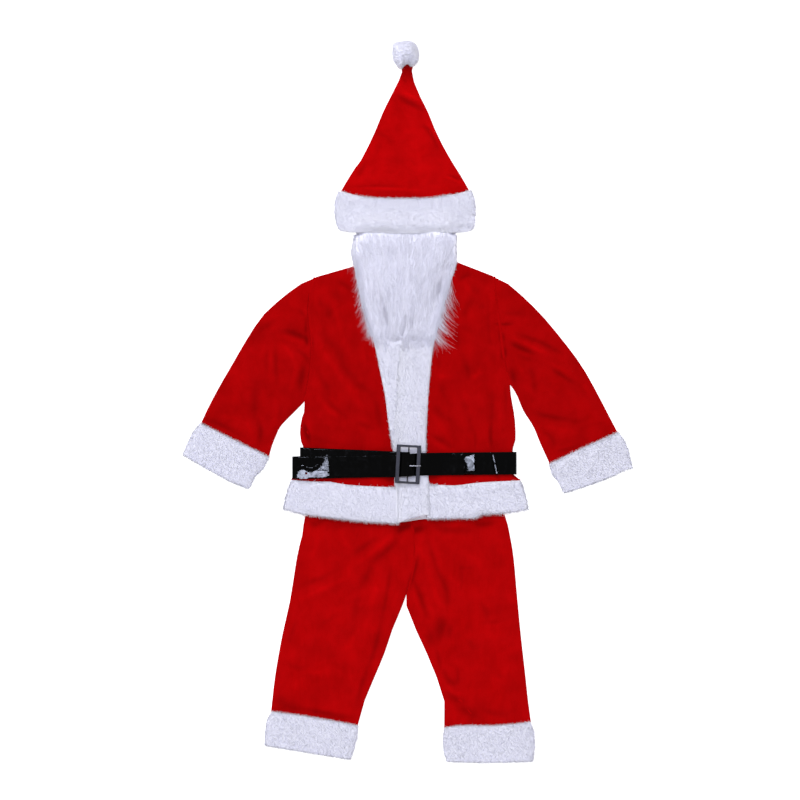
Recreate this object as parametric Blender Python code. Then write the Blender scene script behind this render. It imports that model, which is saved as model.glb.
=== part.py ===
"""A child's santa suit laid out flat: hat with pompom, beard, jacket with belt, and trousers.

The plan is given in millimetres from the middle of the layout, x to the right and y towards the
hat's tip. z rises from the surface that the suit lies on. Left and right in the names are the
wearer's, so the wearer's right side is at -x. Every piece is a wall of cloth that follows whatever
lies under it. Blender units are metres.
"""

import math

import bmesh
import bpy
import numpy as np
from mathutils import Matrix, Vector

MM = 0.001

# Cloth, mm
VELOUR = 1.8  # red velour with its nap
PLUSH = 4.5  # white trim with its pile
VINYL = 1.2  # belt strap
SEAM = 0.6  # gap between pieces that are sewn to each other
REST = 0.35  # gap between a piece and what it lies on

# Driving sizes, mm
BAND_WIDTH = 66.0  # plush band down the jacket's left front, which lies on top
UNDER_BAND_WIDTH = 58.0  # band down the right front, mostly covered
BEARD_LOFT = 20.0  # height of the beard's pile at its thickest
BELT_WIDTH = 45.0
BELT_Y = -122.0  # middle of the strap where it crosses the back
BUCKLE_WIDTH = 49.0
BUCKLE_HEIGHT = 77.0
BUCKLE_BAR = 8.0  # width of the frame's side bars
BUCKLE_RAIL = 6.3  # width of its upper and lower bars
BUCKLE_THICK = 3.2
BUCKLE_RISE = 3.9  # underside of the frame over the bands
BUCKLE_Y = -124.0
BUCKLE_TURN = math.radians(-3.0)
PIN_RADIUS = 1.3  # the buckle's middle bar
PIN_RISE = 4.6
PRONG_RADIUS = 1.2
PRONG_Y = -127.0
POMPOM_WIDTH = 53.0
POMPOM_LENGTH = 61.0
POMPOM_HEIGHT = 50.0
POMPOM_FLAT = 3.0  # depth by which its own weight flattens it
POMPOM_X = -5.0
POMPOM_Y = 689.0
POMPOM_PARTING = math.radians(-81.0)  # direction in plan in which the hat's tip leaves it

# Heights of neighbouring layers are kept on a plan grid of this pitch, mm
CELL = 4.0
GRID_X = (-500.0, 500.0)
GRID_Y = (-760.0, 760.0)
SPREAD = 3  # least number of cells by which a covered layer is widened

# Edges of the pieces, mm: x and y of the points that each smooth edge runs through.
HAT_RIGHT = [(-134, 422), (-126, 436), (-106, 468), (-94, 484), (-70, 532), (-50, 580),
             (-34, 612), (-18, 644), (-11, 660), (-6, 674)]
HAT_LEFT = [(122, 424), (106, 452), (86, 484), (60, 532), (40, 580), (24, 612), (11, 644),
            (8, 660), (4, 674)]
HAT_SEAM = [(-134, 422), (-120, 419), (-97, 412), (-62, 408), (0, 407), (44, 408), (68, 412),
            (103, 418), (122, 424)]
BAND_HEM = [(-140, 346), (-128, 340), (-90, 337), (0, 335), (90, 337), (122, 340), (132, 346)]
BAND_RIGHT = [(-139, 422), (-146, 404), (-147, 372), (-140, 346)]
BAND_LEFT = [(126, 424), (133, 406), (135, 374), (132, 346)]

NECK_RIGHT = (-108, 272)
NECK_LEFT = (98, 280)
SHOULDER_RIGHT = (-184, 250)
SHOULDER_LEFT = (170, 252)
UNDERARM_RIGHT = (-207, 0)
UNDERARM_LEFT = (204, 34)
ARMHOLE_RIGHT = [SHOULDER_RIGHT, (-199, 204), (-196, 144), (-192, 110), (-198, 50),
                 UNDERARM_RIGHT]
ARMHOLE_LEFT = [SHOULDER_LEFT, (178, 196), (186, 140), (191, 96), UNDERARM_LEFT]
HEM_CORNER_RIGHT = (-233, -154)
HEM_CORNER_LEFT = (225, -156)
HEM_FRONT_RIGHT = (-25, -170)
HEM_FRONT_LEFT = (40, -164)
SIDE_RIGHT = [UNDERARM_RIGHT, (-206, -14), (-213, -34), (-216, -56), (-215, -76), (-208, -94),
              (-207, -122), (-208, -147), HEM_CORNER_RIGHT]
SIDE_LEFT = [UNDERARM_LEFT, (206, 12), (210, -10), (214, -36), (215, -76), (209, -96),
             (208, -122), (208, -147), HEM_CORNER_LEFT]
FRONT_RIGHT = [NECK_RIGHT, (-100, 228), (-88, 188), (-76, 148), (-66, 108), (-56, 60),
               (-46, 12), (-40, -36), (-32, -84), (-28, -120), HEM_FRONT_RIGHT]
FRONT_LEFT = [NECK_LEFT, (90, 252), (80, 220), (68, 178), (58, 140), (50, 104), (44, 48),
              (41, 12), (38, -44), (36, -84), (37, -120), HEM_FRONT_LEFT]
NECK = [NECK_RIGHT, (-60, 262), (0, 258), (55, 264), NECK_LEFT]
COLLAR_RIGHT = [(-108, 333), (-111, 314), (-114, 294), NECK_RIGHT]
COLLAR_LEFT = [(97, 333), (97, 318), (95, 302), NECK_LEFT]

HEM_TOP_RIGHT = [HEM_CORNER_RIGHT, (-190, -158), (-156, -158), (-126, -164), (-70, -168),
                 HEM_FRONT_RIGHT]
HEM_TOP_LEFT = [HEM_FRONT_LEFT, (94, -166), (134, -161), (180, -158), HEM_CORNER_LEFT]
HEM_LOW_RIGHT = [(-250, -214), (-208, -224), (-150, -231), (-96, -238), (-21, -242)]
HEM_LOW_LEFT = [(42, -232), (100, -232), (138, -231), (150, -224), (200, -221), (240, -214)]
HEM_SIDE_RIGHT = [HEM_CORNER_RIGHT, (-243, -184), HEM_LOW_RIGHT[0]]
HEM_SIDE_LEFT = [HEM_CORNER_LEFT, (234, -186), HEM_LOW_LEFT[-1]]

SLEEVE_OVER_RIGHT = [SHOULDER_RIGHT, (-216, 236), (-258, 204), (-292, 172), (-324, 124),
                     (-352, 76), (-380, 28), (-404, -18), (-415, -42)]
SLEEVE_UNDER_RIGHT = [UNDERARM_RIGHT, (-226, -20), (-242, -36), (-256, -52), (-264, -70),
                      (-271, -88), (-277, -110)]
SLEEVE_OVER_LEFT = [SHOULDER_LEFT, (202, 236), (238, 204), (270, 172), (310, 124), (346, 76),
                    (374, 28), (399, -20), (420, -60)]
SLEEVE_UNDER_LEFT = [UNDERARM_LEFT, (217, 14), (230, -18), (250, -50), (263, -82), (282, -124)]
CUFF_SEAM_RIGHT = [(-415, -42), (-346, -76), (-277, -110)]
CUFF_SEAM_LEFT = [(420, -60), (350, -91), (282, -124)]
CUFF_HEM_RIGHT = [(-450, -106), (-404, -132), (-350, -162), (-328, -171)]
CUFF_HEM_LEFT = [(448, -127), (410, -148), (368, -164), (320, -180)]
CUFF_OVER_RIGHT = [(-415, -42), (-421, -46), (-435, -70), (-450, -106)]
CUFF_UNDER_RIGHT = [(-277, -110), (-276, -115), (-292, -136), (-328, -171)]
CUFF_OVER_LEFT = [(420, -60), (426, -64), (439, -92), (448, -127)]
CUFF_UNDER_LEFT = [(282, -124), (280, -129), (290, -148), (320, -180)]

WAIST_RIGHT = (-185, -182)
WAIST_MIDDLE = (-3, -184)
WAIST_LEFT = (170, -183)
CROTCH = (-8, -398)
FLY = [WAIST_MIDDLE, (4, -228), (12, -270), (13, -318), (4, -362), CROTCH]
OUTSEAM_RIGHT = [WAIST_RIGHT, (-206, -226), (-211, -262), (-222, -308), (-236, -396),
                 (-252, -468), (-266, -548), (-274, -618)]
INSEAM_RIGHT = [CROTCH, (-16, -420), (-30, -452), (-46, -500), (-66, -548), (-86, -596),
                (-100, -646)]
OUTSEAM_LEFT = [WAIST_LEFT, (194, -226), (203, -262), (211, -308), (219, -396), (226, -468),
                (235, -548), (241, -604), (246, -639)]
INSEAM_LEFT = [CROTCH, (2, -420), (14, -452), (36, -500), (56, -548), (70, -588), (74, -618),
               (72, -650)]
ANKLE_RIGHT = [(-274, -618), (-186, -630), (-100, -646)]
ANKLE_LEFT = [(246, -639), (180, -646), (110, -646), (72, -650)]
LEG_HEM_RIGHT = [(-286, -686), (-200, -700), (-115, -714)]
LEG_HEM_LEFT = [(249, -718), (160, -720), (77, -718)]
LEG_SIDE_RIGHT = [(-274, -618), (-279, -623), (-285, -654), (-286, -686)]
LEG_INNER_RIGHT = [(-100, -646), (-99, -651), (-104, -680), (-115, -714)]
LEG_SIDE_LEFT = [(246, -639), (250, -643), (253, -690), (249, -718)]
LEG_INNER_LEFT = [(72, -650), (70, -655), (71, -695), (77, -718)]

BEARD_TOP = [(-101, 354), (0, 356), (84, 354)]
BEARD_RIGHT = [(-101, 354), (-103, 320), (-103, 262), (-101, 222), (-95, 184), (-84, 146),
               (-72, 118)]
BEARD_LEFT = [(84, 354), (84, 310), (85, 276), (88, 236), (93, 196), (94, 158), (88, 126)]
BEARD_LOW = [(-72, 118), (-50, 122), (-14, 112), (20, 118), (50, 112), (88, 126)]

# Largest folds: a soft ridge (height > 0) or trough (height < 0) along a bent line, mm.
FOLD_COLUMNS = ("x1", "y1", "x2", "y2", "x3", "y3", "width", "height")
JACKET_FOLDS = [
    (-167, 215, -120, 120, -82, 78, 11, 3.0),
    (-180, 97, -128, 32, -68, -48, 11, 3.4),
    (-190, 38, -160, -22, -114, -70, 10, 2.6),
    (-201, 200, -199, 160, -194, 116, 8, -2.0),
    (-182, 190, -178, 150, -176, 112, 9, 3.2),
    (-200, -40, -197, -62, -194, -86, 8, 2.4),
    (-130, 232, -104, 170, -92, 140, 9, 2.2),
    (76, 84, 104, 44, 124, 8, 11, 2.8),
    (150, 214, 136, 150, 138, 92, 11, 3.2),
    (118, 196, 96, 120, 92, 60, 10, 2.4),
    (174, 56, 168, -10, 166, -84, 8, -2.0),
    (188, 30, 190, -20, 192, -74, 8, 2.8),
    (146, 20, 144, -30, 150, -78, 9, 3.0),
]
SLEEVE_FOLDS = [
    (-262, 186, -238, 160, -212, 128, 11, 4.2),
    (-290, 130, -262, 122, -218, 100, 9, -1.6),
    (-262, 100, -264, 56, -270, 14, 10, 3.6),
    (-236, 92, -236, 50, -240, 10, 9, 3.0),
    (-300, 96, -312, 40, -336, -18, 11, 3.2),
    (-345, -40, -315, -52, -288, -84, 10, 3.4),
    (212, 130, 267, 97, 330, 46, 11, 5.0),
    (204, 156, 222, 158, 250, 150, 9, 3.0),
    (208, 74, 244, 30, 288, -16, 11, 4.4),
    (224, 116, 262, 62, 300, 28, 9, -1.6),
    (258, -46, 286, -42, 326, -34, 10, 3.2),
    (280, -88, 312, -70, 346, -66, 10, 2.6),
]
TROUSER_FOLDS = [
    (-38, -270, -80, -326, -124, -356, 12, 4.4),
    (-16, -250, -58, -312, -84, -352, 8, -1.8),
    (-26, -300, -40, -404, -72, -486, 11, 4.2),
    (-60, -372, -78, -460, -104, -560, 10, 3.0),
    (-204, -392, -180, -364, -130, -350, 11, 3.4),
    (-190, -246, -160, -262, -132, -300, 12, 3.0),
    (-250, -580, -190, -590, -140, -604, 12, 2.6),
    (26, -276, 40, -342, 68, -388, 10, 4.4),
    (44, -276, 62, -340, 82, -410, 8, -2.0),
    (62, -300, 92, -372, 100, -440, 11, 3.4),
    (14, -404, 38, -452, 62, -498, 9, 2.8),
    (132, -300, 160, -312, 200, -300, 12, 2.8),
    (84, -566, 110, -600, 144, -634, 9, 3.8),
    (150, -470, 160, -520, 150, -570, 12, 2.2),
]
HAT_FOLDS = [
    (-14, 616, 7, 612, 24, 598, 8, 4.2),
    (-18, 606, 6, 594, 30, 580, 7, -1.6),
    (18, 560, 44, 548, 60, 512, 9, 3.4),
    (-116, 436, -24, 427, 40, 421, 8, 3.2),
    (66, 456, 84, 450, 106, 440, 8, 2.8),
    (-90, 470, -70, 486, -56, 520, 9, 2.6),
    (0, 664, 1, 648, 2, 630, 6, 2.2),
]

# Belt: x, and the height over what lies under the buckle, of the strap's middle line, mm
STRAP_OUT = {"right": -216.0, "left": 217.0}  # where the strap turns round the jacket's sides
STRAP_TIP = -231.0
STRAP_UNDER_PIN = [(-11, 0.95), (-7, 1.1), (-3.5, 1.9)]
STRAP_OVER_PIN = [(-4, 6.7), (-8, 5.6), (-12, 2.9), (-15.5, 1.5), (-19, 1.0), (-27, 0.95)]
STRAP_THROUGH = [(27, 0.95), (20, 1.0), (16.5, 2.1), (14, 3.6), (10, 6.8), (6, 9.0), (3, 9.8),
                 (0, 9.9), (-5, 9.4), (-9, 7.2), (-13, 4.4), (-16, 2.95), (-20, 2.75),
                 (-27, 2.75)]
STRAP_HELD = [(-216, -113), (20, -123)]  # x and y of the stretch from the pin to the right side
STRAP_BACK = [(-216, -113), (217, -122)]  # x and y across the back
STRAP_FREE = [(-240, -131), (-24, -127), (24, -124), (217, -122)]  # x and y back over the front
STRAP_CREASES = (132, 172)  # x of the sharp creases across the strap's left front
CREASE_HEIGHT = 1.8
PRONG_ROUTE = [(5, 7.7), (10, 8.1), (15, 8.8), (20, 9.0), (25.5, 8.7)]
HOLES = [(-203, -142), (-169, -130)]  # punched near the strap's free end
HOLE_RADIUS = 2.5
HOLE_CUT = 9.0  # depth of the tool that punches them


def material(name, colour, roughness, metallic=0.0):
    made = bpy.data.materials.new(name)
    made.use_nodes = True
    shader = made.node_tree.nodes["Principled BSDF"]
    shader.inputs["Base Color"].default_value = (*colour, 1.0)
    shader.inputs["Roughness"].default_value = roughness
    shader.inputs["Metallic"].default_value = metallic
    made.diffuse_color = (*colour, 1.0)
    return made


def clear_scene():
    for thing in list(bpy.data.objects):
        bpy.data.objects.remove(thing, do_unlink=True)


def finish(name, bm, finish_of):
    """Turns a bmesh in mm into the named object, in metres."""
    bmesh.ops.remove_doubles(bm, verts=bm.verts[:], dist=1e-4)
    bmesh.ops.recalc_face_normals(bm, faces=bm.faces[:])
    bmesh.ops.scale(bm, vec=(MM, MM, MM), verts=bm.verts[:])
    mesh = bpy.data.meshes.new(name)
    bm.to_mesh(mesh)
    bm.free()
    mesh.shade_smooth()
    mesh.set_sharp_from_angle(angle=math.radians(50))
    mesh.materials.append(finish_of)
    thing = bpy.data.objects.new(name, mesh)
    bpy.context.scene.collection.objects.link(thing)
    return thing


# Plan geometry


def smooth_line(points, at):
    """Points at the fractions `at` of the length of a smooth curve through the given points."""
    knots = np.array(points, float)
    ends = np.vstack([2 * knots[0] - knots[1], knots, 2 * knots[-1] - knots[-2]])
    t = np.linspace(0, 1, 13)[:-1, None]
    run = []
    for a, b, c, d in zip(ends, ends[1:], ends[2:], ends[3:]):
        run.append(b + 0.5 * ((c - a) * t + (2 * a - 5 * b + 4 * c - d) * t ** 2
                              + (3 * (b - c) + d - a) * t ** 3))
    run = np.vstack(run + [knots[-1:]])
    length = np.concatenate([[0], np.cumsum(np.linalg.norm(np.diff(run, axis=0), axis=1))])
    want = np.asarray(at) * length[-1]
    return np.stack([np.interp(want, length, run[:, 0]), np.interp(want, length, run[:, 1])], 1)


def edge_line(edge, at):
    """Points of an edge: one smooth run, or several with a corner between them.

    A cornered edge is a list of (share, points), where share is its part of the fractions.
    """
    if not isinstance(edge[0][1], (list, np.ndarray)):
        return smooth_line(edge, at)
    at = np.asarray(at, float)
    points = np.zeros((len(at), 2))
    start = 0.0
    for share, run in edge:
        inside = (at >= start - 1e-9) & (at <= start + share + 1e-9)
        points[inside] = smooth_line(run, np.clip((at[inside] - start) / share, 0, 1))
        start += share
    return points


def shares(count, rim=0.0):
    """count + 1 fractions from 0 to 1; with a rim, one more close to each end."""
    inner = np.linspace(rim, 1 - rim, count + 1)
    return np.concatenate([[0.0], inner, [1.0]]) if rim else inner


def drawn_in(plan, gap):
    """The plan with each side moved in by a gap, towards the next row or column of points."""
    for side in (np.s_[0], np.s_[-1], np.s_[:, 0], np.s_[:, -1]):
        column = isinstance(side, tuple)
        last = (side[1] if column else side) == -1
        next_in = -2 if last else 1
        beside = plan[:, next_in] if column else plan[next_in]
        way = beside - plan[side]
        plan[side] += gap * way / np.linalg.norm(way, axis=1)[:, None]
    return plan


def panel_plan(top, bottom, first, last, across, along, gap=SEAM / 2):
    """Plan points of a panel between four edges. top and bottom run from first to last."""
    top_line, low_line = edge_line(top, across), edge_line(bottom, across)
    first_line, last_line = edge_line(first, along), edge_line(last, along)
    u, v = across[None, :, None], along[:, None, None]
    corners = ((1 - u) * (1 - v) * top_line[0] + u * (1 - v) * top_line[-1]
               + (1 - u) * v * low_line[0] + u * v * low_line[-1])
    plan = ((1 - v) * top_line[None] + v * low_line[None]
            + (1 - u) * first_line[:, None] + u * last_line[:, None] - corners)
    return drawn_in(plan, gap)


# Layers


LAYERS = {}


def grid_size():
    return (int((GRID_Y[1] - GRID_Y[0]) / CELL) + 1, int((GRID_X[1] - GRID_X[0]) / CELL) + 1)


def finer(grid, times):
    """A grid of points with each step along both ways cut into `times`."""
    for axis in (0, 1):
        count = grid.shape[axis]
        at = np.linspace(0, count - 1, (count - 1) * times + 1)
        low = np.minimum(at.astype(int), count - 2)
        part = (at - low)[:, None, None] if axis == 0 else (at - low)[None, :, None]
        grid = np.take(grid, low, axis) * (1 - part) + np.take(grid, low + 1, axis) * part
    return grid


def remember(name, plan, height):
    """Keeps the upper surface of a piece, for what lies on it."""
    points = finer(np.dstack([plan, height]), 8)
    rows = np.rint((points[..., 1] - GRID_Y[0]) / CELL).astype(int)
    columns = np.rint((points[..., 0] - GRID_X[0]) / CELL).astype(int)
    layer = LAYERS.setdefault(name, np.zeros(grid_size()))
    np.maximum.at(layer, (rows, columns), points[..., 2])


def cover(names, spread=SPREAD):
    """Height over the named pieces, widened and smoothed so that cloth can lie on it."""
    top = np.zeros(grid_size())
    for name in names:
        top = np.maximum(top, LAYERS[name])
    wide = top.copy()
    for dy in range(-spread, spread + 1):
        for dx in range(-spread, spread + 1):
            if dx * dx + dy * dy <= spread * spread + 1:
                wide = np.maximum(wide, np.roll(top, (dy, dx), (0, 1)))
    for _ in range(2):
        wide = sum(np.roll(wide, (dy, dx), (0, 1)) for dy in (-1, 0, 1) for dx in (-1, 0, 1)) / 9
    return wide


def height_at(surface, x, y):
    row, column = (y - GRID_Y[0]) / CELL, (x - GRID_X[0]) / CELL
    r, c = np.floor(row).astype(int), np.floor(column).astype(int)
    s, t = row - r, column - c
    return ((surface[r, c] * (1 - t) + surface[r, c + 1] * t) * (1 - s)
            + (surface[r + 1, c] * (1 - t) + surface[r + 1, c + 1] * t) * s)


def resting(names, plan):
    """Underside of a piece that lies on the named ones, or flat on the floor where none is."""
    if not names:
        return np.zeros(plan.shape[:2])
    pitch = max(np.linalg.norm(np.diff(plan, axis=axis), axis=-1).max() for axis in (0, 1))
    spread = max(SPREAD, math.ceil(0.7 * pitch / CELL))
    under = height_at(cover(names, spread), plan[..., 0], plan[..., 1])
    return np.where(under > 0.02, under + REST, 0.0)


# Folds


def line_distance(plan, points):
    """Distance from a polyline, and the share of its length at the nearest point."""
    best = np.full(plan.shape[:2], 1e9)
    share = np.zeros(plan.shape[:2])
    count = len(points) - 1
    for index, (a, b) in enumerate(zip(points, points[1:])):
        way = b - a
        t = np.clip(((plan - a) @ way) / (way @ way), 0, 1)
        gap = np.linalg.norm(plan - (a + t[..., None] * way), axis=-1)
        share = np.where(gap < best, (index + t) / count, share)
        best = np.minimum(best, gap)
    return best, share


def fold_height(plan, folds):
    """Rise of the cloth from the folds that cross it."""
    rise = np.zeros(plan.shape[:2])
    for row in folds:
        fold = dict(zip(FOLD_COLUMNS, row))
        points = smooth_line([(fold["x1"], fold["y1"]), (fold["x2"], fold["y2"]),
                              (fold["x3"], fold["y3"])], np.linspace(0, 1, 9))
        gap, share = line_distance(plan, points)
        taper = np.sin(np.pi * np.clip(0.12 + 0.76 * share, 0, 1))
        rise += fold["height"] * taper * np.exp(-(gap / fold["width"]) ** 2)
    return rise


def soft_step(value):
    value = np.clip(value, 0, 1)
    return value * value * (3 - 2 * value)


def pressed(plan):
    """0 under the belt, where the cloth is held flat, rising to 1 a little away from it."""
    return soft_step((np.abs(plan[..., 1] - BELT_Y) - BELT_WIDTH * 0.62) / 24)


# Solids


def shell(name, finish_of, outside, inside, ring=False):
    """A closed wall between two point grids, moved from one to the other by an extrusion.

    With ring, the first and last columns are one, which makes a tube that is open at both ends.
    """
    rows, columns = outside.shape[0] - 1, outside.shape[1] - 1
    bm = bmesh.new()
    bmesh.ops.create_grid(bm, x_segments=columns, y_segments=rows, size=1)
    far = bm.verts.layers.float_vector.new("far")
    for vert in bm.verts:
        column = round((vert.co.x + 1) / 2 * columns)
        row = round((vert.co.y + 1) / 2 * rows)
        vert.co = outside[row, column]
        vert[far] = inside[row, column]
    if ring:
        bmesh.ops.remove_doubles(bm, verts=bm.verts[:], dist=1e-3)
    for part in bmesh.ops.extrude_face_region(bm, geom=bm.faces[:])["geom"]:
        if isinstance(part, bmesh.types.BMVert):
            part.co = part[far]
    return finish(name, bm, finish_of)


def wall(name, finish_of, plan, under, thick):
    """A piece of cloth over its plan, from its underside up by its thickness."""
    over = under + thick
    remember(name, plan, over)
    return shell(name, finish_of, np.dstack([plan, under]), np.dstack([plan, over]))


def tube(name, finish_of, plan, inner_plan, under, over, cloth):
    """A flattened tube of cloth, open at both ends, with its folds along the plan's two sides."""
    remember(name, plan, over)
    middle = (under + over) / 2
    low_in = np.minimum(under + cloth, middle - REST / 2)
    high_in = np.maximum(over - cloth, middle + REST / 2)

    def ring(flat, low, high):
        around = np.concatenate([np.dstack([flat, low]), np.dstack([flat, high])[:, ::-1]], 1)
        return np.concatenate([around, around[:, :1]], 1)

    return shell(name, finish_of, ring(plan, under, over), ring(inner_plan, low_in, high_in),
                 ring=True)


def edge_rise(across, along, reach=0.2):
    """0 at a panel's edges and 1 from a share of its size inwards."""
    u, v = across[None, :], along[:, None]
    return soft_step(np.minimum(u, 1 - u) / reach) * soft_step(np.minimum(v, 1 - v) / reach)


def plush_thickness(across, along, rim, ends=True):
    """Pile that rounds off towards the edges of a strip."""
    u, v = across[None, :], along[:, None]
    round_off = soft_step(np.minimum(u, 1 - u) / rim[0])
    if ends:
        round_off = round_off * soft_step(np.minimum(v, 1 - v) / rim[1])
    return PLUSH * (0.5 + 0.5 * round_off)


def flat_tube(name, finish_of, edges, counts, cloth, on=(), loft=0.0, folds=(), rim=0.03,
              gap=SEAM / 2):
    """A tube between two end edges and two folds, laid flat."""
    across, along = shares(counts[0], rim), shares(counts[1])
    plan = panel_plan(*edges, across, along, gap)
    width = np.linalg.norm(plan[:, -1] - plan[:, 0], axis=1)[:, None, None]
    margin = 1.25 * cloth / width
    inner_plan = plan + (0.5 - across[None, :, None]) * 2 * margin * (plan[:, -1:] - plan[:, :1])
    full = 2 * cloth + 2 * REST
    u = across[None, :] + 0 * along[:, None]
    edge = soft_step(np.minimum(u, 1 - u) / rim)
    under = resting(on, plan) + full * 0.28 * (1 - edge)
    over = resting(on, plan) + full * (0.72 + 0.28 * edge)
    over = over + loft * soft_step(np.minimum(u, 1 - u) / 0.25)
    if folds:
        over = over + fold_height(plan, folds) * soft_step(np.minimum(u, 1 - u) / 0.12)
    return tube(name, finish_of, plan, inner_plan, under, over, cloth)


def panel(name, finish_of, edges, counts, cloth, on=(), loft=0.0, folds=(), press=False):
    """One flat panel of velour between its four edges, on the named pieces."""
    across, along = shares(counts[0]), shares(counts[1])
    plan = panel_plan(*edges, across, along)
    rise = loft * edge_rise(across, along)
    if folds:
        inside = edge_rise(across, along, 0.06)
        rise = rise + np.maximum(fold_height(plan, folds) * inside, -0.8 * rise)
    if press:
        rise = rise * pressed(plan)
    return wall(name, finish_of, plan, resting(on, plan) + rise, cloth + 0 * rise)


def plush_strip(name, finish_of, edges, counts, on=(), rims=(0.06, 0.02), waves=0.0):
    """One flat strip of plush trim, with rounded edges and a slightly uneven surface."""
    across, along = shares(counts[0], rims[0]), shares(counts[1], rims[1])
    plan = panel_plan(*edges, across, along)
    thick = plush_thickness(across, along, rims)
    swell = 1 + waves * np.sin(plan[..., 0] / 19 + 0.7) * np.cos(plan[..., 1] / 27)
    return wall(name, finish_of, plan, resting(on, plan), thick * swell)


# Pieces


def make_trousers(red, white):
    fly_share = 0.48
    legs = (
        ("right", [WAIST_RIGHT, (-92, -180), WAIST_MIDDLE], ANKLE_RIGHT, OUTSEAM_RIGHT,
         [(fly_share, FLY), (1 - fly_share, INSEAM_RIGHT)]),
        ("left", [WAIST_MIDDLE, (84, -180), WAIST_LEFT], ANKLE_LEFT[::-1],
         [(fly_share, FLY), (1 - fly_share, INSEAM_LEFT)], OUTSEAM_LEFT),
    )
    for layer, counts, folds, loft in (("back", (6, 10), (), 0.0),
                                       ("front", (10, 20), TROUSER_FOLDS, 3.0)):
        for side, *edges in legs:
            on = () if layer == "back" else ("trouser_back_right", "trouser_back_left")
            panel(f"trouser_{layer}_{side}", red, edges, counts, VELOUR, on, loft, folds)
    cuffs = (
        ("right", ANKLE_RIGHT, LEG_HEM_RIGHT, LEG_SIDE_RIGHT, LEG_INNER_RIGHT),
        ("left", ANKLE_LEFT, LEG_HEM_LEFT, LEG_SIDE_LEFT, LEG_INNER_LEFT),
    )
    for side, *edges in cuffs:
        flat_tube(f"trouser_cuff_{side}", white, edges, (6, 3), PLUSH, rim=0.04, loft=1.5)


def make_jacket(red, white):
    right = [(0.5, ARMHOLE_RIGHT), (0.5, SIDE_RIGHT)]
    left = [(0.5, ARMHOLE_LEFT), (0.5, SIDE_LEFT)]
    trousers = ("trouser_front_right", "trouser_front_left")
    hem_top = [(0.56, HEM_TOP_RIGHT), (0.14, [HEM_FRONT_RIGHT, HEM_FRONT_LEFT]),
               (0.3, HEM_TOP_LEFT)]
    hem_low = [(0.56, HEM_LOW_RIGHT), (0.14, [HEM_LOW_RIGHT[-1], HEM_LOW_LEFT[0]]),
               (0.3, HEM_LOW_LEFT)]
    shoulders = [(0.2, [SHOULDER_RIGHT, NECK_RIGHT]), (0.6, NECK),
                 (0.2, [NECK_LEFT, SHOULDER_LEFT])]
    panel("jacket_back", red, (shoulders, hem_top, right, left), (15, 16), VELOUR,
          ("belt_under",))
    plush_strip("hem_back", white, (hem_top, hem_low, HEM_SIDE_RIGHT, HEM_SIDE_LEFT), (15, 4),
                trousers, (0.012, 0.12))
    plush_strip("collar", white, ([COLLAR_RIGHT[0], (0, 334), COLLAR_LEFT[0]], NECK,
                                  COLLAR_RIGHT, COLLAR_LEFT), (9, 2), (), (0.03, 0.1))
    under = ("jacket_back", "hem_back")
    panel("jacket_front_right", red,
          ([SHOULDER_RIGHT, NECK_RIGHT], HEM_TOP_RIGHT, right, FRONT_RIGHT),
          (11, 22), VELOUR, under, 2.6, JACKET_FOLDS, press=True)
    panel("jacket_front_left", red,
          ([NECK_LEFT, SHOULDER_LEFT], HEM_TOP_LEFT, FRONT_LEFT, left),
          (11, 22), VELOUR, under, 2.6, JACKET_FOLDS, press=True)
    inner_right = [HEM_FRONT_RIGHT, (-23, -206), HEM_LOW_RIGHT[-1]]
    inner_left = [HEM_FRONT_LEFT, (41, -200), HEM_LOW_LEFT[0]]
    plush_strip("hem_front_right", white,
                (HEM_TOP_RIGHT, HEM_LOW_RIGHT, HEM_SIDE_RIGHT, inner_right),
                (11, 3), under, (0.02, 0.09), 0.06)
    plush_strip("hem_front_left", white,
                (HEM_TOP_LEFT, HEM_LOW_LEFT, inner_left, HEM_SIDE_LEFT),
                (11, 3), under, (0.02, 0.09), 0.06)


def make_front_bands(white):
    """Two long plush strips from the collar to the hem, the left one over the right one."""
    outer = np.array(COLLAR_RIGHT[:-1] + FRONT_RIGHT + [(-23, -206), HEM_LOW_RIGHT[-1]], float)
    inner = outer + (UNDER_BAND_WIDTH, 0)
    inner[-1, 1] += 3
    plush_strip("front_band_right", white,
                ([outer[0], inner[0]], [outer[-1], inner[-1]], outer, inner), (3, 36),
                ("jacket_back", "hem_back", "collar"), (0.08, 0.012), 0.05)
    outer = np.array(COLLAR_LEFT[:-1] + FRONT_LEFT + [(41, -200), HEM_LOW_LEFT[0]], float)
    inner = outer - (BAND_WIDTH, 0)
    inner[-1] += (1, -10)
    plush_strip("front_band_left", white,
                ([inner[0], outer[0]], [inner[-1], outer[-1]], inner, outer), (4, 36),
                ("jacket_back", "hem_back", "collar", "front_band_right", "jacket_front_right",
                 "hem_front_right"), (0.07, 0.012), 0.05)


def make_sleeves(red, white):
    sides = (
        ("right", (ARMHOLE_RIGHT, CUFF_SEAM_RIGHT, SLEEVE_OVER_RIGHT, SLEEVE_UNDER_RIGHT),
         (CUFF_SEAM_RIGHT, CUFF_HEM_RIGHT, CUFF_OVER_RIGHT, CUFF_UNDER_RIGHT)),
        ("left", (ARMHOLE_LEFT, CUFF_SEAM_LEFT, SLEEVE_OVER_LEFT, SLEEVE_UNDER_LEFT),
         (CUFF_SEAM_LEFT, CUFF_HEM_LEFT, CUFF_OVER_LEFT, CUFF_UNDER_LEFT)),
    )
    for side, sleeve, cuff in sides:
        flat_tube(f"sleeve_{side}", red, sleeve, (8, 12), VELOUR, loft=3.0, folds=SLEEVE_FOLDS,
                  rim=0.025, gap=2 * SEAM)
        flat_tube(f"sleeve_cuff_{side}", white, cuff, (6, 3), PLUSH, rim=0.045, loft=1.5)


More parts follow.
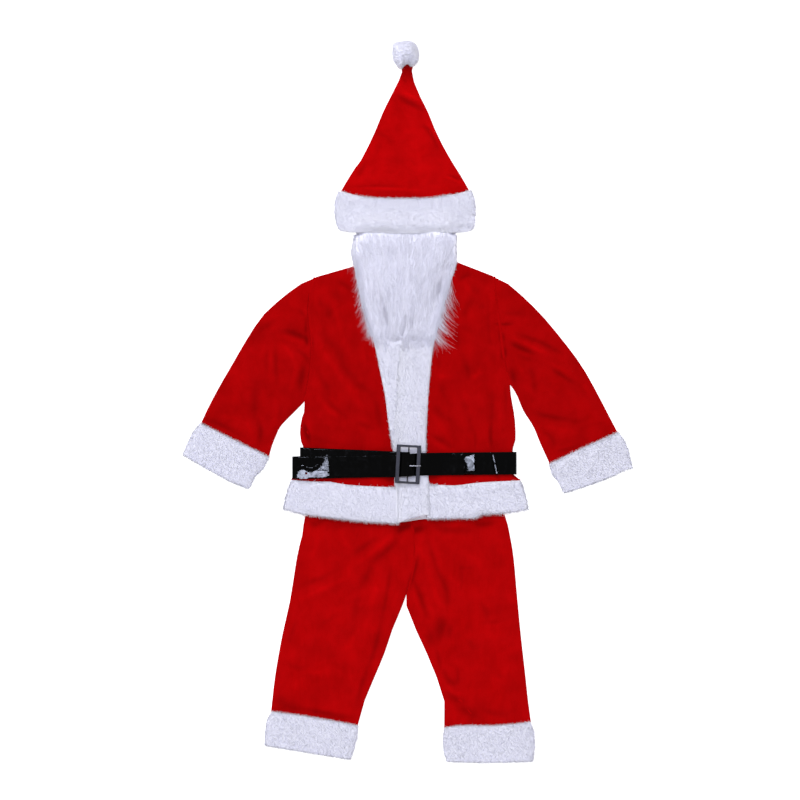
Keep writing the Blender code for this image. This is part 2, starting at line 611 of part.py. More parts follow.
def make_hat(red, white):
    tip = [HAT_RIGHT[-1], (-1, 677), HAT_LEFT[-1]]
    edges = (tip, HAT_SEAM, HAT_RIGHT[::-1], HAT_LEFT[::-1])
    panel("hat_back", red, edges, (6, 8), VELOUR)
    panel("hat_front", red, edges, (10, 16), VELOUR, ("hat_back",), 3.0, HAT_FOLDS)
    flat_tube("hat_band", white, (HAT_SEAM, BAND_HEM, BAND_RIGHT, BAND_LEFT), (14, 5), PLUSH,
              ("beard",), 1.5, gap=1.5 * SEAM)


def make_pompom(white):
    """A soft, slightly square ball, parted at its lower side where the hat's tip enters it."""
    bm = bmesh.new()
    bmesh.ops.create_uvsphere(bm, u_segments=28, v_segments=12, radius=1)
    for vert in bm.verts:
        x, y, z = vert.co
        around = math.atan2(y, x)
        square = (abs(math.cos(around)) ** 2.6 + abs(math.sin(around)) ** 2.6) ** (-1 / 2.6)
        lumps = 0.03 * math.sin(5 * around + 1) + 0.03 * math.sin(3 * around + 7 * z)
        from_tip = (around - POMPOM_PARTING + math.pi) % (2 * math.pi) - math.pi
        parting = 0.68 * math.exp(-(from_tip / 0.42) ** 2)
        reach = square * (1 + lumps) - parting
        vert.co.x = POMPOM_X + POMPOM_WIDTH / 2 * x * reach
        vert.co.y = POMPOM_Y + POMPOM_LENGTH / 2 * y * reach
        height = math.copysign(abs(z) ** 0.85, z)
        vert.co.z = max(POMPOM_HEIGHT / 2 * (1 + height) - POMPOM_FLAT, 0)
    finish("hat_pompom", bm, white)


def make_beard(white):
    """Long pile on a bib: thick in the middle, with locks that run down it and part at its rim."""
    across, along = shares(14, 0.03), shares(15, 0.02)
    plan = panel_plan(BEARD_TOP, BEARD_LOW, BEARD_RIGHT, BEARD_LEFT, across, along)
    u, v = across[None, :], along[:, None]
    loose = soft_step((v - 0.3) / 0.4)
    out = (soft_step((u - 0.8) / 0.2) * (6 * np.abs(np.sin(19 * v + 0.6)) + 6)
           - soft_step((0.2 - u) / 0.2) * (4 * np.abs(np.sin(17 * v)) - 1)) * loose
    down = soft_step((v - 0.85) / 0.15) * 4 * np.sin(19 * u + 1.2)
    plan = plan + np.dstack([out + 0 * u, down + 0 * v])
    crown = soft_step(np.minimum(u, 1 - u) / 0.3) * soft_step((v - 0.08) / 0.26)
    crown = crown * (0.35 + 0.65 * soft_step((1 - v) / 0.3))
    drift = 26 * u + 2.2 * np.sin(3.1 * v + 4 * u)
    locks = 1.5 * np.sin(drift) * (0.3 + crown) + 1.0 * np.sin(11 * v + 9 * u) * crown
    rim = soft_step(np.minimum(np.minimum(u, 1 - u) / 0.03, np.minimum(v, 1 - v) / 0.02))
    thick = 1.8 + (2.2 + (BEARD_LOFT - 4) * crown + locks) * rim
    on = ("jacket_back", "jacket_front_right", "jacket_front_left", "front_band_right",
          "front_band_left", "collar")
    wall("beard", white, plan, resting(on, plan), np.maximum(thick, 1.6))


# Belt and buckle


def placed(run, line):
    """x, y and z of the strap's middle from its x and z, and the x and y of its line in plan."""
    xs, ys = zip(*line)
    return [(x, float(np.interp(x, xs, ys)), z) for x, z in run]


def strap_route(surface, base):
    """Middle line of the strap, as the stretch from the pin round the back, and the free one."""
    half = VINYL / 2
    level = REST + half
    edge = np.linspace(-0.56, 0.56, 9) * BELT_WIDTH

    def front(x):
        """Middle of a strap that lies on the jacket's front."""
        lies = height_at(surface, np.full(9, float(x)), BELT_Y + edge).max()
        near = float(soft_step((62 - abs(x)) / 34))
        crease = sum(CREASE_HEIGHT * math.exp(-((x - c) / 4) ** 2) for c in STRAP_CREASES)
        return lies + near * (base - lies) + level + crease

    def arc(middle, radius, start, stop, steps):
        turns = np.radians(np.linspace(start, stop, steps))
        return [(middle[0] + radius * math.cos(a), middle[1] + radius * math.sin(a))
                for a in turns]

    turn = (front(STRAP_OUT["right"] + 12) - half) / 2
    turn_x = STRAP_OUT["right"] + half + turn
    held = [(x, base + z) for x, z in STRAP_UNDER_PIN]
    held += arc((0, base + PIN_RISE), PIN_RADIUS + REST + half, -80, 80, 5)
    held += [(x, base + z) for x, z in STRAP_OVER_PIN]
    held += [(x, front(x)) for x in np.linspace(-36, turn_x + 4, 13)]
    held += arc((turn_x, half + turn), turn, 90, 270, 9)

    turn = (front(STRAP_OUT["left"] - 13) - half) / 2
    turn_back_x = STRAP_OUT["left"] - half - turn
    back = [(x, half) for x in np.linspace(turn_x, turn_back_x, 10)[1:-1]]

    free = arc((turn_back_x, half + turn), turn, -90, 90, 9)
    stops = np.concatenate([np.linspace(turn_back_x - 4, 36, 13),
                            *[np.array([c - 4, c, c + 4]) for c in STRAP_CREASES]])
    free += [(x, front(x)) for x in sorted(stops, reverse=True)]
    free += [(x, base + z) for x, z in STRAP_THROUGH]
    above = VINYL + REST + 0.1
    free += [(x, front(x) + above) for x in np.linspace(-38, -212, 13)]
    tip_height = front(-206) + above
    free += [(-219, tip_height), (STRAP_TIP, tip_height - 1.2)]
    return placed(held, STRAP_HELD) + placed(back, STRAP_BACK), placed(free, STRAP_FREE)


def box_cutter(name, low, high, finish_of):
    bm = bmesh.new()
    bmesh.ops.create_cube(bm, size=1)
    size = Vector(high) - Vector(low)
    bmesh.ops.scale(bm, vec=size, verts=bm.verts[:])
    bmesh.ops.translate(bm, vec=(Vector(high) + Vector(low)) / 2, verts=bm.verts[:])
    return hidden(finish(name, bm, finish_of))


def hidden(tool):
    tool.hide_render = True
    tool.display_type = "WIRE"
    return tool


def boolean(thing, tool, operation="DIFFERENCE"):
    change = thing.modifiers.new(tool.name, "BOOLEAN")
    change.operation = operation
    change.object = tool


def make_belt(vinyl, base, surface):
    first_stretch, free_stretch = strap_route(surface, base)
    points = first_stretch + free_stretch
    half, side = VINYL / 2, BELT_WIDTH / 2
    places = np.array(points)
    way = np.gradient(places[:, [0, 2]], axis=0)
    way /= np.linalg.norm(way, axis=1)[:, None]
    ring = []
    for (x, y, z), (dx, dz) in zip(points, way):
        lean = -math.tan(BUCKLE_TURN) * float(soft_step((62 - abs(x)) / 34))
        section = [(-dz, -side, dx), (-dz, side, dx), (dz, side, -dx), (dz, -side, -dx)]
        ring.append([(x + half * a + lean * (y + b - BUCKLE_Y), y + b, z + half * c)
                     for a, b, c in section + section[:1]])
    ring = np.array(ring)
    bm = bmesh.new()
    rows, columns = len(ring) - 1, 4
    bmesh.ops.create_grid(bm, x_segments=columns, y_segments=rows, size=1)
    for vert in bm.verts:
        vert.co = ring[round((vert.co.y + 1) / 2 * rows), round((vert.co.x + 1) / 2 * columns)]
    bmesh.ops.remove_doubles(bm, verts=bm.verts[:], dist=1e-3)
    bmesh.ops.holes_fill(bm, edges=bm.edges[:], sides=4)
    strap = finish("belt_strap", bm, vinyl)
    gap = PRONG_RADIUS + 0.5
    boolean(strap, box_cutter("cut_loop_slot", (-5, PRONG_Y - gap, base + 0.1),
                              (5, PRONG_Y + gap, base + 8.5), vinyl))
    boolean(strap, box_cutter("cut_prong_slot", (3.4, PRONG_Y - gap, base + 5.2),
                              (12.2, PRONG_Y + gap, base + 12), vinyl))
    for number, (x, y) in enumerate(HOLES):
        nearest = min(free_stretch, key=lambda point: abs(point[0] - x))
        bottom = nearest[2] - half - REST / 2
        bm = bmesh.new()
        bmesh.ops.create_cone(bm, cap_ends=True, segments=12, radius1=HOLE_RADIUS,
                              radius2=HOLE_RADIUS, depth=HOLE_CUT)
        bmesh.ops.translate(bm, vec=(x, y, bottom + HOLE_CUT / 2), verts=bm.verts[:])
        boolean(strap, hidden(finish(f"cut_hole_{number}", bm, vinyl)))


def make_buckle(metal, base):
    """A flat frame with two rails, two side bars and a round pin across its middle."""
    bm = bmesh.new()
    bmesh.ops.create_grid(bm, x_segments=1, y_segments=1, size=0.5)
    bmesh.ops.scale(bm, vec=(BUCKLE_WIDTH, BUCKLE_HEIGHT, 1), verts=bm.verts[:])
    bmesh.ops.inset_individual(bm, faces=bm.faces[:], thickness=BUCKLE_RAIL)
    window = min(bm.faces, key=lambda face: face.calc_center_median().length)
    for vert in window.verts:
        vert.co.x = math.copysign(BUCKLE_WIDTH / 2 - BUCKLE_BAR, vert.co.x)
    bmesh.ops.delete(bm, geom=[window], context="FACES_ONLY")
    raised = bmesh.ops.extrude_face_region(bm, geom=bm.faces[:])["geom"]
    bmesh.ops.translate(bm, vec=(0, 0, BUCKLE_THICK),
                        verts=[part for part in raised if isinstance(part, bmesh.types.BMVert)])
    bmesh.ops.recalc_face_normals(bm, faces=bm.faces[:])
    edges = [edge for edge in bm.edges
             if len(edge.link_faces) == 2 and edge.calc_face_angle(0) > 1]
    bmesh.ops.bevel(bm, geom=edges, offset=0.9, segments=2, profile=0.5, affect="EDGES",
                    material=-1)
    place = Matrix.Translation((0, BUCKLE_Y, base + BUCKLE_RISE)) @ Matrix.Rotation(
        BUCKLE_TURN, 4, "Z")
    bmesh.ops.transform(bm, matrix=place, verts=bm.verts[:])
    frame = finish("buckle_frame", bm, metal)
    bm = bmesh.new()
    bmesh.ops.create_cone(bm, cap_ends=True, segments=10, radius1=PIN_RADIUS,
                          radius2=PIN_RADIUS, depth=BUCKLE_HEIGHT - BUCKLE_RAIL)
    turn = Matrix.Rotation(math.radians(90), 4, "X")
    middle = Matrix.Translation((0, BUCKLE_Y, base + PIN_RISE)) @ Matrix.Rotation(
        BUCKLE_TURN, 4, "Z")
    bmesh.ops.transform(bm, matrix=middle @ turn, verts=bm.verts[:])
    boolean(frame, hidden(finish("join_pin", bm, metal)), "UNION")


def make_prong(metal, base):
    """A wire bent round the pin, through the strap's hole and onto the frame's side bar."""
    around = PIN_RADIUS + REST + PRONG_RADIUS
    route = [(around * math.cos(a), PIN_RISE + around * math.sin(a))
             for a in np.radians(np.linspace(-45, -270, 11))]
    route += PRONG_ROUTE
    curve = bpy.data.curves.new("buckle_prong", "CURVE")
    curve.dimensions = "3D"
    curve.bevel_depth = PRONG_RADIUS * MM
    curve.bevel_resolution = 1
    curve.use_fill_caps = True
    line = curve.splines.new("POLY")
    line.points.add(len(route) - 1)
    for point, (x, z) in zip(line.points, route):
        point.co = (x * MM, PRONG_Y * MM, (base + z) * MM, 1)
    curve.materials.append(metal)
    prong = bpy.data.objects.new("buckle_prong", curve)
    bpy.context.scene.collection.objects.link(prong)


def highest(surface, half_width, half_height):
    """Greatest height in a window round the buckle's middle."""
    x, y = np.meshgrid(np.linspace(-half_width, half_width, 15),
                       BUCKLE_Y + np.linspace(-half_height, half_height, 21))
    return float(height_at(surface, x, y).max())


def main():
    clear_scene()
    red = material("velour_red", (0.50, 0.004, 0.006), 0.85)
    white = material("plush_white", (0.78, 0.78, 0.86), 0.95)
    vinyl = material("vinyl_black", (0.012, 0.012, 0.014), 0.25)
    metal = material("buckle_grey", (0.16, 0.16, 0.18), 0.35, 0.9)

    make_trousers(red, white)
    strap = np.array([[(x, y) for x in STRAP_OUT.values()] for y in (-146, -90)], float)
    remember("belt_under", finer(strap, 60), np.full((61, 61), VINYL))
    make_jacket(red, white)
    make_front_bands(white)
    make_sleeves(red, white)
    make_beard(white)
    make_hat(red, white)
    make_pompom(white)

    surface = cover(("jacket_front_right", "jacket_front_left", "front_band_right",
                     "front_band_left", "hem_front_right", "hem_front_left"))
    base = max(highest(surface, BUCKLE_WIDTH / 2, BELT_WIDTH / 2),
               highest(surface, BUCKLE_WIDTH / 2 + 2, BUCKLE_HEIGHT / 2 + 2)
               + REST - BUCKLE_RISE)
    make_belt(vinyl, base, surface)
    make_buckle(metal, base)
    make_prong(metal, base)


main()
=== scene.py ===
import math
import random

import bmesh
import bpy
import numpy as np
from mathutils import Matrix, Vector, noise
from mathutils.bvhtree import BVHTree
from mathutils.kdtree import KDTree


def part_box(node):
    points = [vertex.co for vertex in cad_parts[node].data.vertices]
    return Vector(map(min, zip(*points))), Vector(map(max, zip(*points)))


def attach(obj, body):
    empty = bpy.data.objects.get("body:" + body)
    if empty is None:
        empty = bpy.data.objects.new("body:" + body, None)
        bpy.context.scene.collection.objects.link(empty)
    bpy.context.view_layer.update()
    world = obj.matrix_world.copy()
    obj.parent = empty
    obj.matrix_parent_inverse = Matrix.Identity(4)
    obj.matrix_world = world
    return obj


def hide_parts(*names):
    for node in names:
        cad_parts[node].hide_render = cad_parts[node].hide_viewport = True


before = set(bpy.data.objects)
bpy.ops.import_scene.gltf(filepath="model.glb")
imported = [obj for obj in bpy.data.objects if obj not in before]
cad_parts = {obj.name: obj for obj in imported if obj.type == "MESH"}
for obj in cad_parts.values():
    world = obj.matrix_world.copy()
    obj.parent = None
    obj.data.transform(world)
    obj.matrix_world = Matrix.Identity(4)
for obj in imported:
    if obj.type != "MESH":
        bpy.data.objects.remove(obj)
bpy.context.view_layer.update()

scene = bpy.context.scene
scene.view_settings.view_transform = "Standard"
mm = 0.001  # the tables are in millimetres, the meshes in metres


# reading the solids
def mergedCopy(node):
    bm = bmesh.new()
    bm.from_mesh(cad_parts[node].data)
    bmesh.ops.remove_doubles(bm, verts=bm.verts[:], dist=0.02 * mm)
    return bm


def treeOf(nodes):
    # one search tree over several solids
    points, faces = [], []
    for node in nodes:
        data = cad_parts[node].data
        start = len(points)
        points += [v.co.copy() for v in data.vertices]
        faces += [[start + i for i in p.vertices] for p in data.polygons]
    return BVHTree.FromPolygons(points, faces)


def treeOfMesh(data):
    return BVHTree.FromPolygons([v.co.copy() for v in data.vertices],
                                [list(p.vertices) for p in data.polygons])


nodeTrees = {node: treeOf([node]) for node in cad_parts}
up = Vector((0, 0, 1))


def topAt(x, y, tree):
    hit = tree.ray_cast(Vector((x, y, 0.2)), -up)[0]
    return hit.z if hit else 0.0


def planOf(verts):
    return np.array([(v.co.x / mm, v.co.y / mm) for v in verts])


def smooth(t):
    t = min(max(t, 0.0), 1.0)
    return t * t * (3 - 2 * t)


# new meshes and objects
def meshFrom(bm, name):
    mesh = bpy.data.meshes.new(name)
    bm.to_mesh(mesh)
    bm.free()
    return mesh


def placed(name, data):
    made = bpy.data.objects.new(name, data)
    scene.collection.objects.link(made)
    return made


def finishPiece(name, bm, look, sharp=48.0):
    mesh = meshFrom(bm, name)
    mesh.shade_smooth()
    mesh.set_sharp_from_angle(angle=math.radians(sharp))
    mesh.materials.append(look)
    piece = placed(name, mesh)
    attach(piece, "root")
    return piece


# shaping cloth
def markShown(bm, tree):
    # faces of the outer side that looks up, but not the inside of a tube's lower wall
    shown = bm.faces.layers.int.new("shown")
    bm.normal_update()
    for face in bm.faces:
        middle = face.calc_center_median()
        own = tree.ray_cast(middle + up * 0.15 * mm, up)[0]
        face[shown] = int(face.normal.z > 0.12 and own is None)
    return shown


def refine(bm, shown, edgeLength):
    # cuts the long edges of the shown side until all are short
    for _ in range(7):
        edges = [e for e in bm.edges if e.calc_length() > 1.45 * edgeLength
                 and any(f[shown] for f in e.link_faces)]
        if not edges:
            break
        bmesh.ops.subdivide_edges(bm, edges=edges, cuts=1)
        bmesh.ops.triangulate(bm, faces=[f for f in bm.faces if len(f.verts) > 3])


def shownVerts(bm, shown):
    return [v for v in bm.verts if v.link_faces and all(f[shown] for f in v.link_faces)]


def soften(bm, verts, times):
    for _ in range(times):
        bmesh.ops.smooth_vert(bm, verts=verts, factor=0.5, use_axis_x=False,
                              use_axis_y=False, use_axis_z=True)


def pullCorners(bm, pulls):
    # x, y of a corner, how far it is drawn out in x and y, and how far round it that reaches
    for x, y, dx, dy, reach in pulls:
        for v in bm.verts:
            gap = math.hypot(v.co.x / mm - x, v.co.y / mm - y) / reach
            if gap < 1:
                share = (1 - gap * gap) ** 2
                v.co.x += dx * share * mm
                v.co.y += dy * share * mm


def bezierLine(a, b, c, steps=8):
    t = np.linspace(0, 1, steps + 1)[:, None]
    a, b, c = (np.array(p, float) for p in (a, b, c))
    through = 2 * b - (a + c) / 2  # control point of a curve through the middle point
    return (1 - t) ** 2 * a + 2 * t * (1 - t) * through + t ** 2 * c


def creaseRise(points, creases):
    # each crease runs x1,y1 to x3,y3 by x2,y2; it falls off over `left` and `right` of its way,
    # and a row with one width has it on both sides
    rise = np.zeros(len(points))
    for x1, y1, x2, y2, x3, y3, height, left, *right in creases:
        line = bezierLine((x1, y1), (x2, y2), (x3, y3))
        best = np.full(len(points), 1e9)
        side = np.zeros(len(points))
        share = np.zeros(len(points))
        for i, (a, b) in enumerate(zip(line, line[1:])):
            way = b - a
            size = np.linalg.norm(way)
            t = np.clip((points - a) @ way / size ** 2, 0, 1)
            off = points - (a + t[:, None] * way)
            gap = np.linalg.norm(off, axis=1)
            near = gap < best
            best = np.where(near, gap, best)
            side = np.where(near, (way[0] * off[:, 1] - way[1] * off[:, 0]) / size, side)
            share = np.where(near, (i + t) / (len(line) - 1), share)
        width = np.where(side > 0, left, right[0] if right else left)
        taper = np.sin(np.pi * np.clip(0.06 + 0.88 * share, 0, 1)) ** 0.8
        rise += height * taper * np.exp(-(best / width) ** 2)
    return rise


def crease(verts, creases, seed, layer):
    # raises the folds, and paints shade into their hollows and a highlight onto their ridges as a
    # colour mark on the points
    points = planOf(verts)
    rise = creaseRise(points, creases)
    for v, height, (x, y) in zip(verts, rise, points):
        place = Vector((x / clothShape["rippleSize"], y / clothShape["rippleSize"], seed))
        wave = noise.noise(place) + 0.45 * noise.noise(place * 2.7)
        lift = height * clothShape["rise"] + clothShape["ripple"] * wave
        v.co.z += max(lift, -clothShape["deepest"]) * mm
        # the colour mark: painted shade from the hollows, painted highlight from the ridges, and
        # the uneven tone of the ripples
        share = height * clothShape["dark" if height < 0 else "light"] + clothShape["mottle"] * wave
        darkest, lightest = clothShape["bounds"]
        v[layer] = max(darkest, min(lightest, share))


# materials
def setInputs(node, values):
    for socket, value in values.items():
        node.inputs[socket].default_value = value
    return node


def feed(tree, socket, value):
    # a number, a colour, or what another node gives
    if isinstance(value, (int, float)):
        socket.default_value = value
    elif isinstance(value, tuple):
        socket.default_value = (*value, 1.0)
    else:
        tree.links.new(value, socket)


def nodesOf(name, settings):
    look = bpy.data.materials.new(name)
    look.use_nodes = True
    tree = look.node_tree
    shader = setInputs(tree.nodes["Principled BSDF"], settings)
    place = tree.nodes.new("ShaderNodeTexCoord").outputs["Object"]
    return look, tree, shader, place


def noiseNode(tree, place, scale, detail=3.0, distortion=0.0, stretch=None):
    if stretch:
        mapping = setInputs(tree.nodes.new("ShaderNodeMapping"), {"Scale": stretch})
        tree.links.new(place, mapping.inputs["Vector"])
        place = mapping.outputs["Vector"]
    made = setInputs(tree.nodes.new("ShaderNodeTexNoise"),
                     {"Scale": scale, "Detail": detail, "Distortion": distortion})
    tree.links.new(place, made.inputs["Vector"])
    return made.outputs["Fac"]


def rampNode(tree, value, stops):
    made = tree.nodes.new("ShaderNodeValToRGB")
    tree.links.new(value, made.inputs["Fac"])
    ramp = made.color_ramp
    while len(ramp.elements) < len(stops):
        ramp.elements.new(0.5)
    for element, (place, colour) in zip(ramp.elements, stops):
        element.position = place
        element.color = (*colour, 1.0)
    return made.outputs["Color"]


def mathNode(tree, operation, a, b):
    made = tree.nodes.new("ShaderNodeMath")
    made.operation = operation
    for socket, value in zip(made.inputs, (a, b)):
        feed(tree, socket, value)
    return made.outputs["Value"]


def mixColour(tree, factor, a, b, blend="MIX"):
    made = tree.nodes.new("ShaderNodeMix")
    made.data_type = "RGBA"
    made.blend_type = blend
    sockets = [s for s in made.inputs if s.enabled]
    for socket, value in zip(sockets, (factor, a, b)):
        feed(tree, socket, value)
    return [s for s in made.outputs if s.enabled][0]


def bumpNode(tree, height, strength, distance, shader, after=None):
    made = setInputs(tree.nodes.new("ShaderNodeBump"), {"Strength": strength, "Distance": distance})
    tree.links.new(height, made.inputs["Height"])
    if after:
        tree.links.new(after, made.inputs["Normal"])
    tree.links.new(made.outputs["Normal"], shader.inputs["Normal"])
    return made.outputs["Normal"]


def roughFrom(tree, pattern, ends, shader):
    # spreads a pattern over a range of roughness
    span = setInputs(tree.nodes.new("ShaderNodeMapRange"), ends)
    tree.links.new(pattern, span.inputs["Value"])
    tree.links.new(span.outputs["Result"], shader.inputs["Roughness"])


def blend(tree, first, second, share):
    return mathNode(tree, "ADD", mathNode(tree, "MULTIPLY", first, 1 - share),
                    mathNode(tree, "MULTIPLY", second, share))


velour = {
    "deep": (0.322, 0.0004, 0.0008),
    "plain": (0.358, 0.0006, 0.0012),
    "lifted": (0.393, 0.0009, 0.0017),
    "patch": 14.0,
    "streak": 90.0,
    "nap": 1100.0,
}


def velourLook(name, streakWay, shade=1.0):
    look, tree, shader, place = nodesOf(name, {
        "Roughness": 0.9, "Specular IOR Level": 0.02,
        "Sheen Weight": 0.25, "Sheen Roughness": 0.4, "Sheen Tint": (1.0, 0.02, 0.03, 1.0)})
    patches = noiseNode(tree, place, velour["patch"], 3.0, 1.4)
    streaks = noiseNode(tree, place, velour["streak"], 4.0, 0.8, streakWay)
    nap = noiseNode(tree, place, velour["nap"], 2.0)
    both = blend(tree, streaks, patches, 0.55)
    colour = rampNode(tree, both, [
        (0.30, tuple(c * shade for c in velour["deep"])),
        (0.48, tuple(c * shade for c in velour["plain"])),
        (0.72, tuple(c * shade for c in velour["lifted"]))])
    speckle = rampNode(tree, nap, [(0.3, (0.84, 0.84, 0.84)), (0.7, (1.0, 1.0, 1.0))])
    # the colour mark from crease(): painted shade in the folds' hollows and painted highlight on
    # their ridges
    mark = tree.nodes.new("ShaderNodeAttribute")
    mark.attribute_name = "nap"
    paintedFoldShading = mathNode(tree, "ADD", mark.outputs["Fac"], 1.0)
    colour = mixColour(tree, 1.0, colour, speckle, "MULTIPLY")
    tree.links.new(mixColour(tree, 1.0, colour, paintedFoldShading, "MULTIPLY"), shader.inputs["Base Color"])
    low = bumpNode(tree, streaks, 0.25, 0.0010, shader)
    bumpNode(tree, nap, 0.35, 0.0004, shader, low)
    return look


plush = {
    "shade": (0.740, 0.733, 0.812),
    "plain": (0.766, 0.759, 0.840),
    "light": (0.790, 0.783, 0.864),
}


def plushLook(name, clump=420.0, stretch=None, lift=1.0, soak=0.7):
    look, tree, shader, place = nodesOf(name, {
        "Roughness": 0.95, "Specular IOR Level": 0.05,
        "Sheen Weight": 0.15, "Sheen Roughness": 0.5, "Sheen Tint": (0.93, 0.93, 1.0, 1.0),
        "Subsurface Weight": soak, "Subsurface Radius": (1.0, 1.0, 1.0), "Subsurface Scale": 0.004})
    wide = noiseNode(tree, place, 30.0, 3.0, 0.6)
    tufts = noiseNode(tree, place, clump, 3.0, 0.5, stretch)
    both = blend(tree, wide, tufts, 0.55)
    colour = rampNode(tree, both, [
        (place, tuple(min(0.99, c * lift) for c in plush[tone]))
        for place, tone in ((0.30, "shade"), (0.47, "plain"), (0.66, "light"))])
    tree.links.new(colour, shader.inputs["Base Color"])
    bumpNode(tree, tufts, 0.3, 0.0008, shader)
    return look


velourBody = velourLook("velour_body", (1.0, 0.45, 1.0))
velourSleeve = velourLook("velour_sleeve", (0.8, 0.6, 1.0))
velourLeg = velourLook("velour_leg", (1.0, 0.35, 1.0), 1.13)
velourHat = velourLook("velour_hat", (0.7, 0.8, 1.0), 1.28)
# the seam cords use a lighter copy of the velour, a painted highlight that offsets the shade in the
# grooves they fill
seamPaintedLightLook = velourLook("velour_seam_painted_light", (1.0, 1.0, 1.0), 1.06)
plushTrim = plushLook("plush_trim")
plushPile = plushLook("plush_pile", 260.0, None, 1.06)
pompomLook = plushLook("pompom_plush", 200.0, None, 1.20, 0.0)
beardLook = plushLook("beard_fur", 300.0, (1.0, 0.30, 1.0), 1.13, 0.0)
print("looks ready")


# red cloth
clothShape = {
    "edge": 3.0,  # mm between the points of the shown side
    "soften": 16,
    "rise": 0.9,
    "deepest": 1.25,  # the cloth is hardly thicker than this
    "dark": 0.205,  # how much painted shade darkens the colour for each mm of hollow
    # how much painted highlight lightens the colour for each mm of ridge
    "light": 0.15,
    "mottle": 0.14,  # uneven tone between the folds, lighter where the ripples rise and darker where they sink
    "ripple": 0.75,
    "rippleSize": 40.0,
    "bounds": (-0.42, 0.30),  # of the colour mark's change, painted shade and highlight included
}
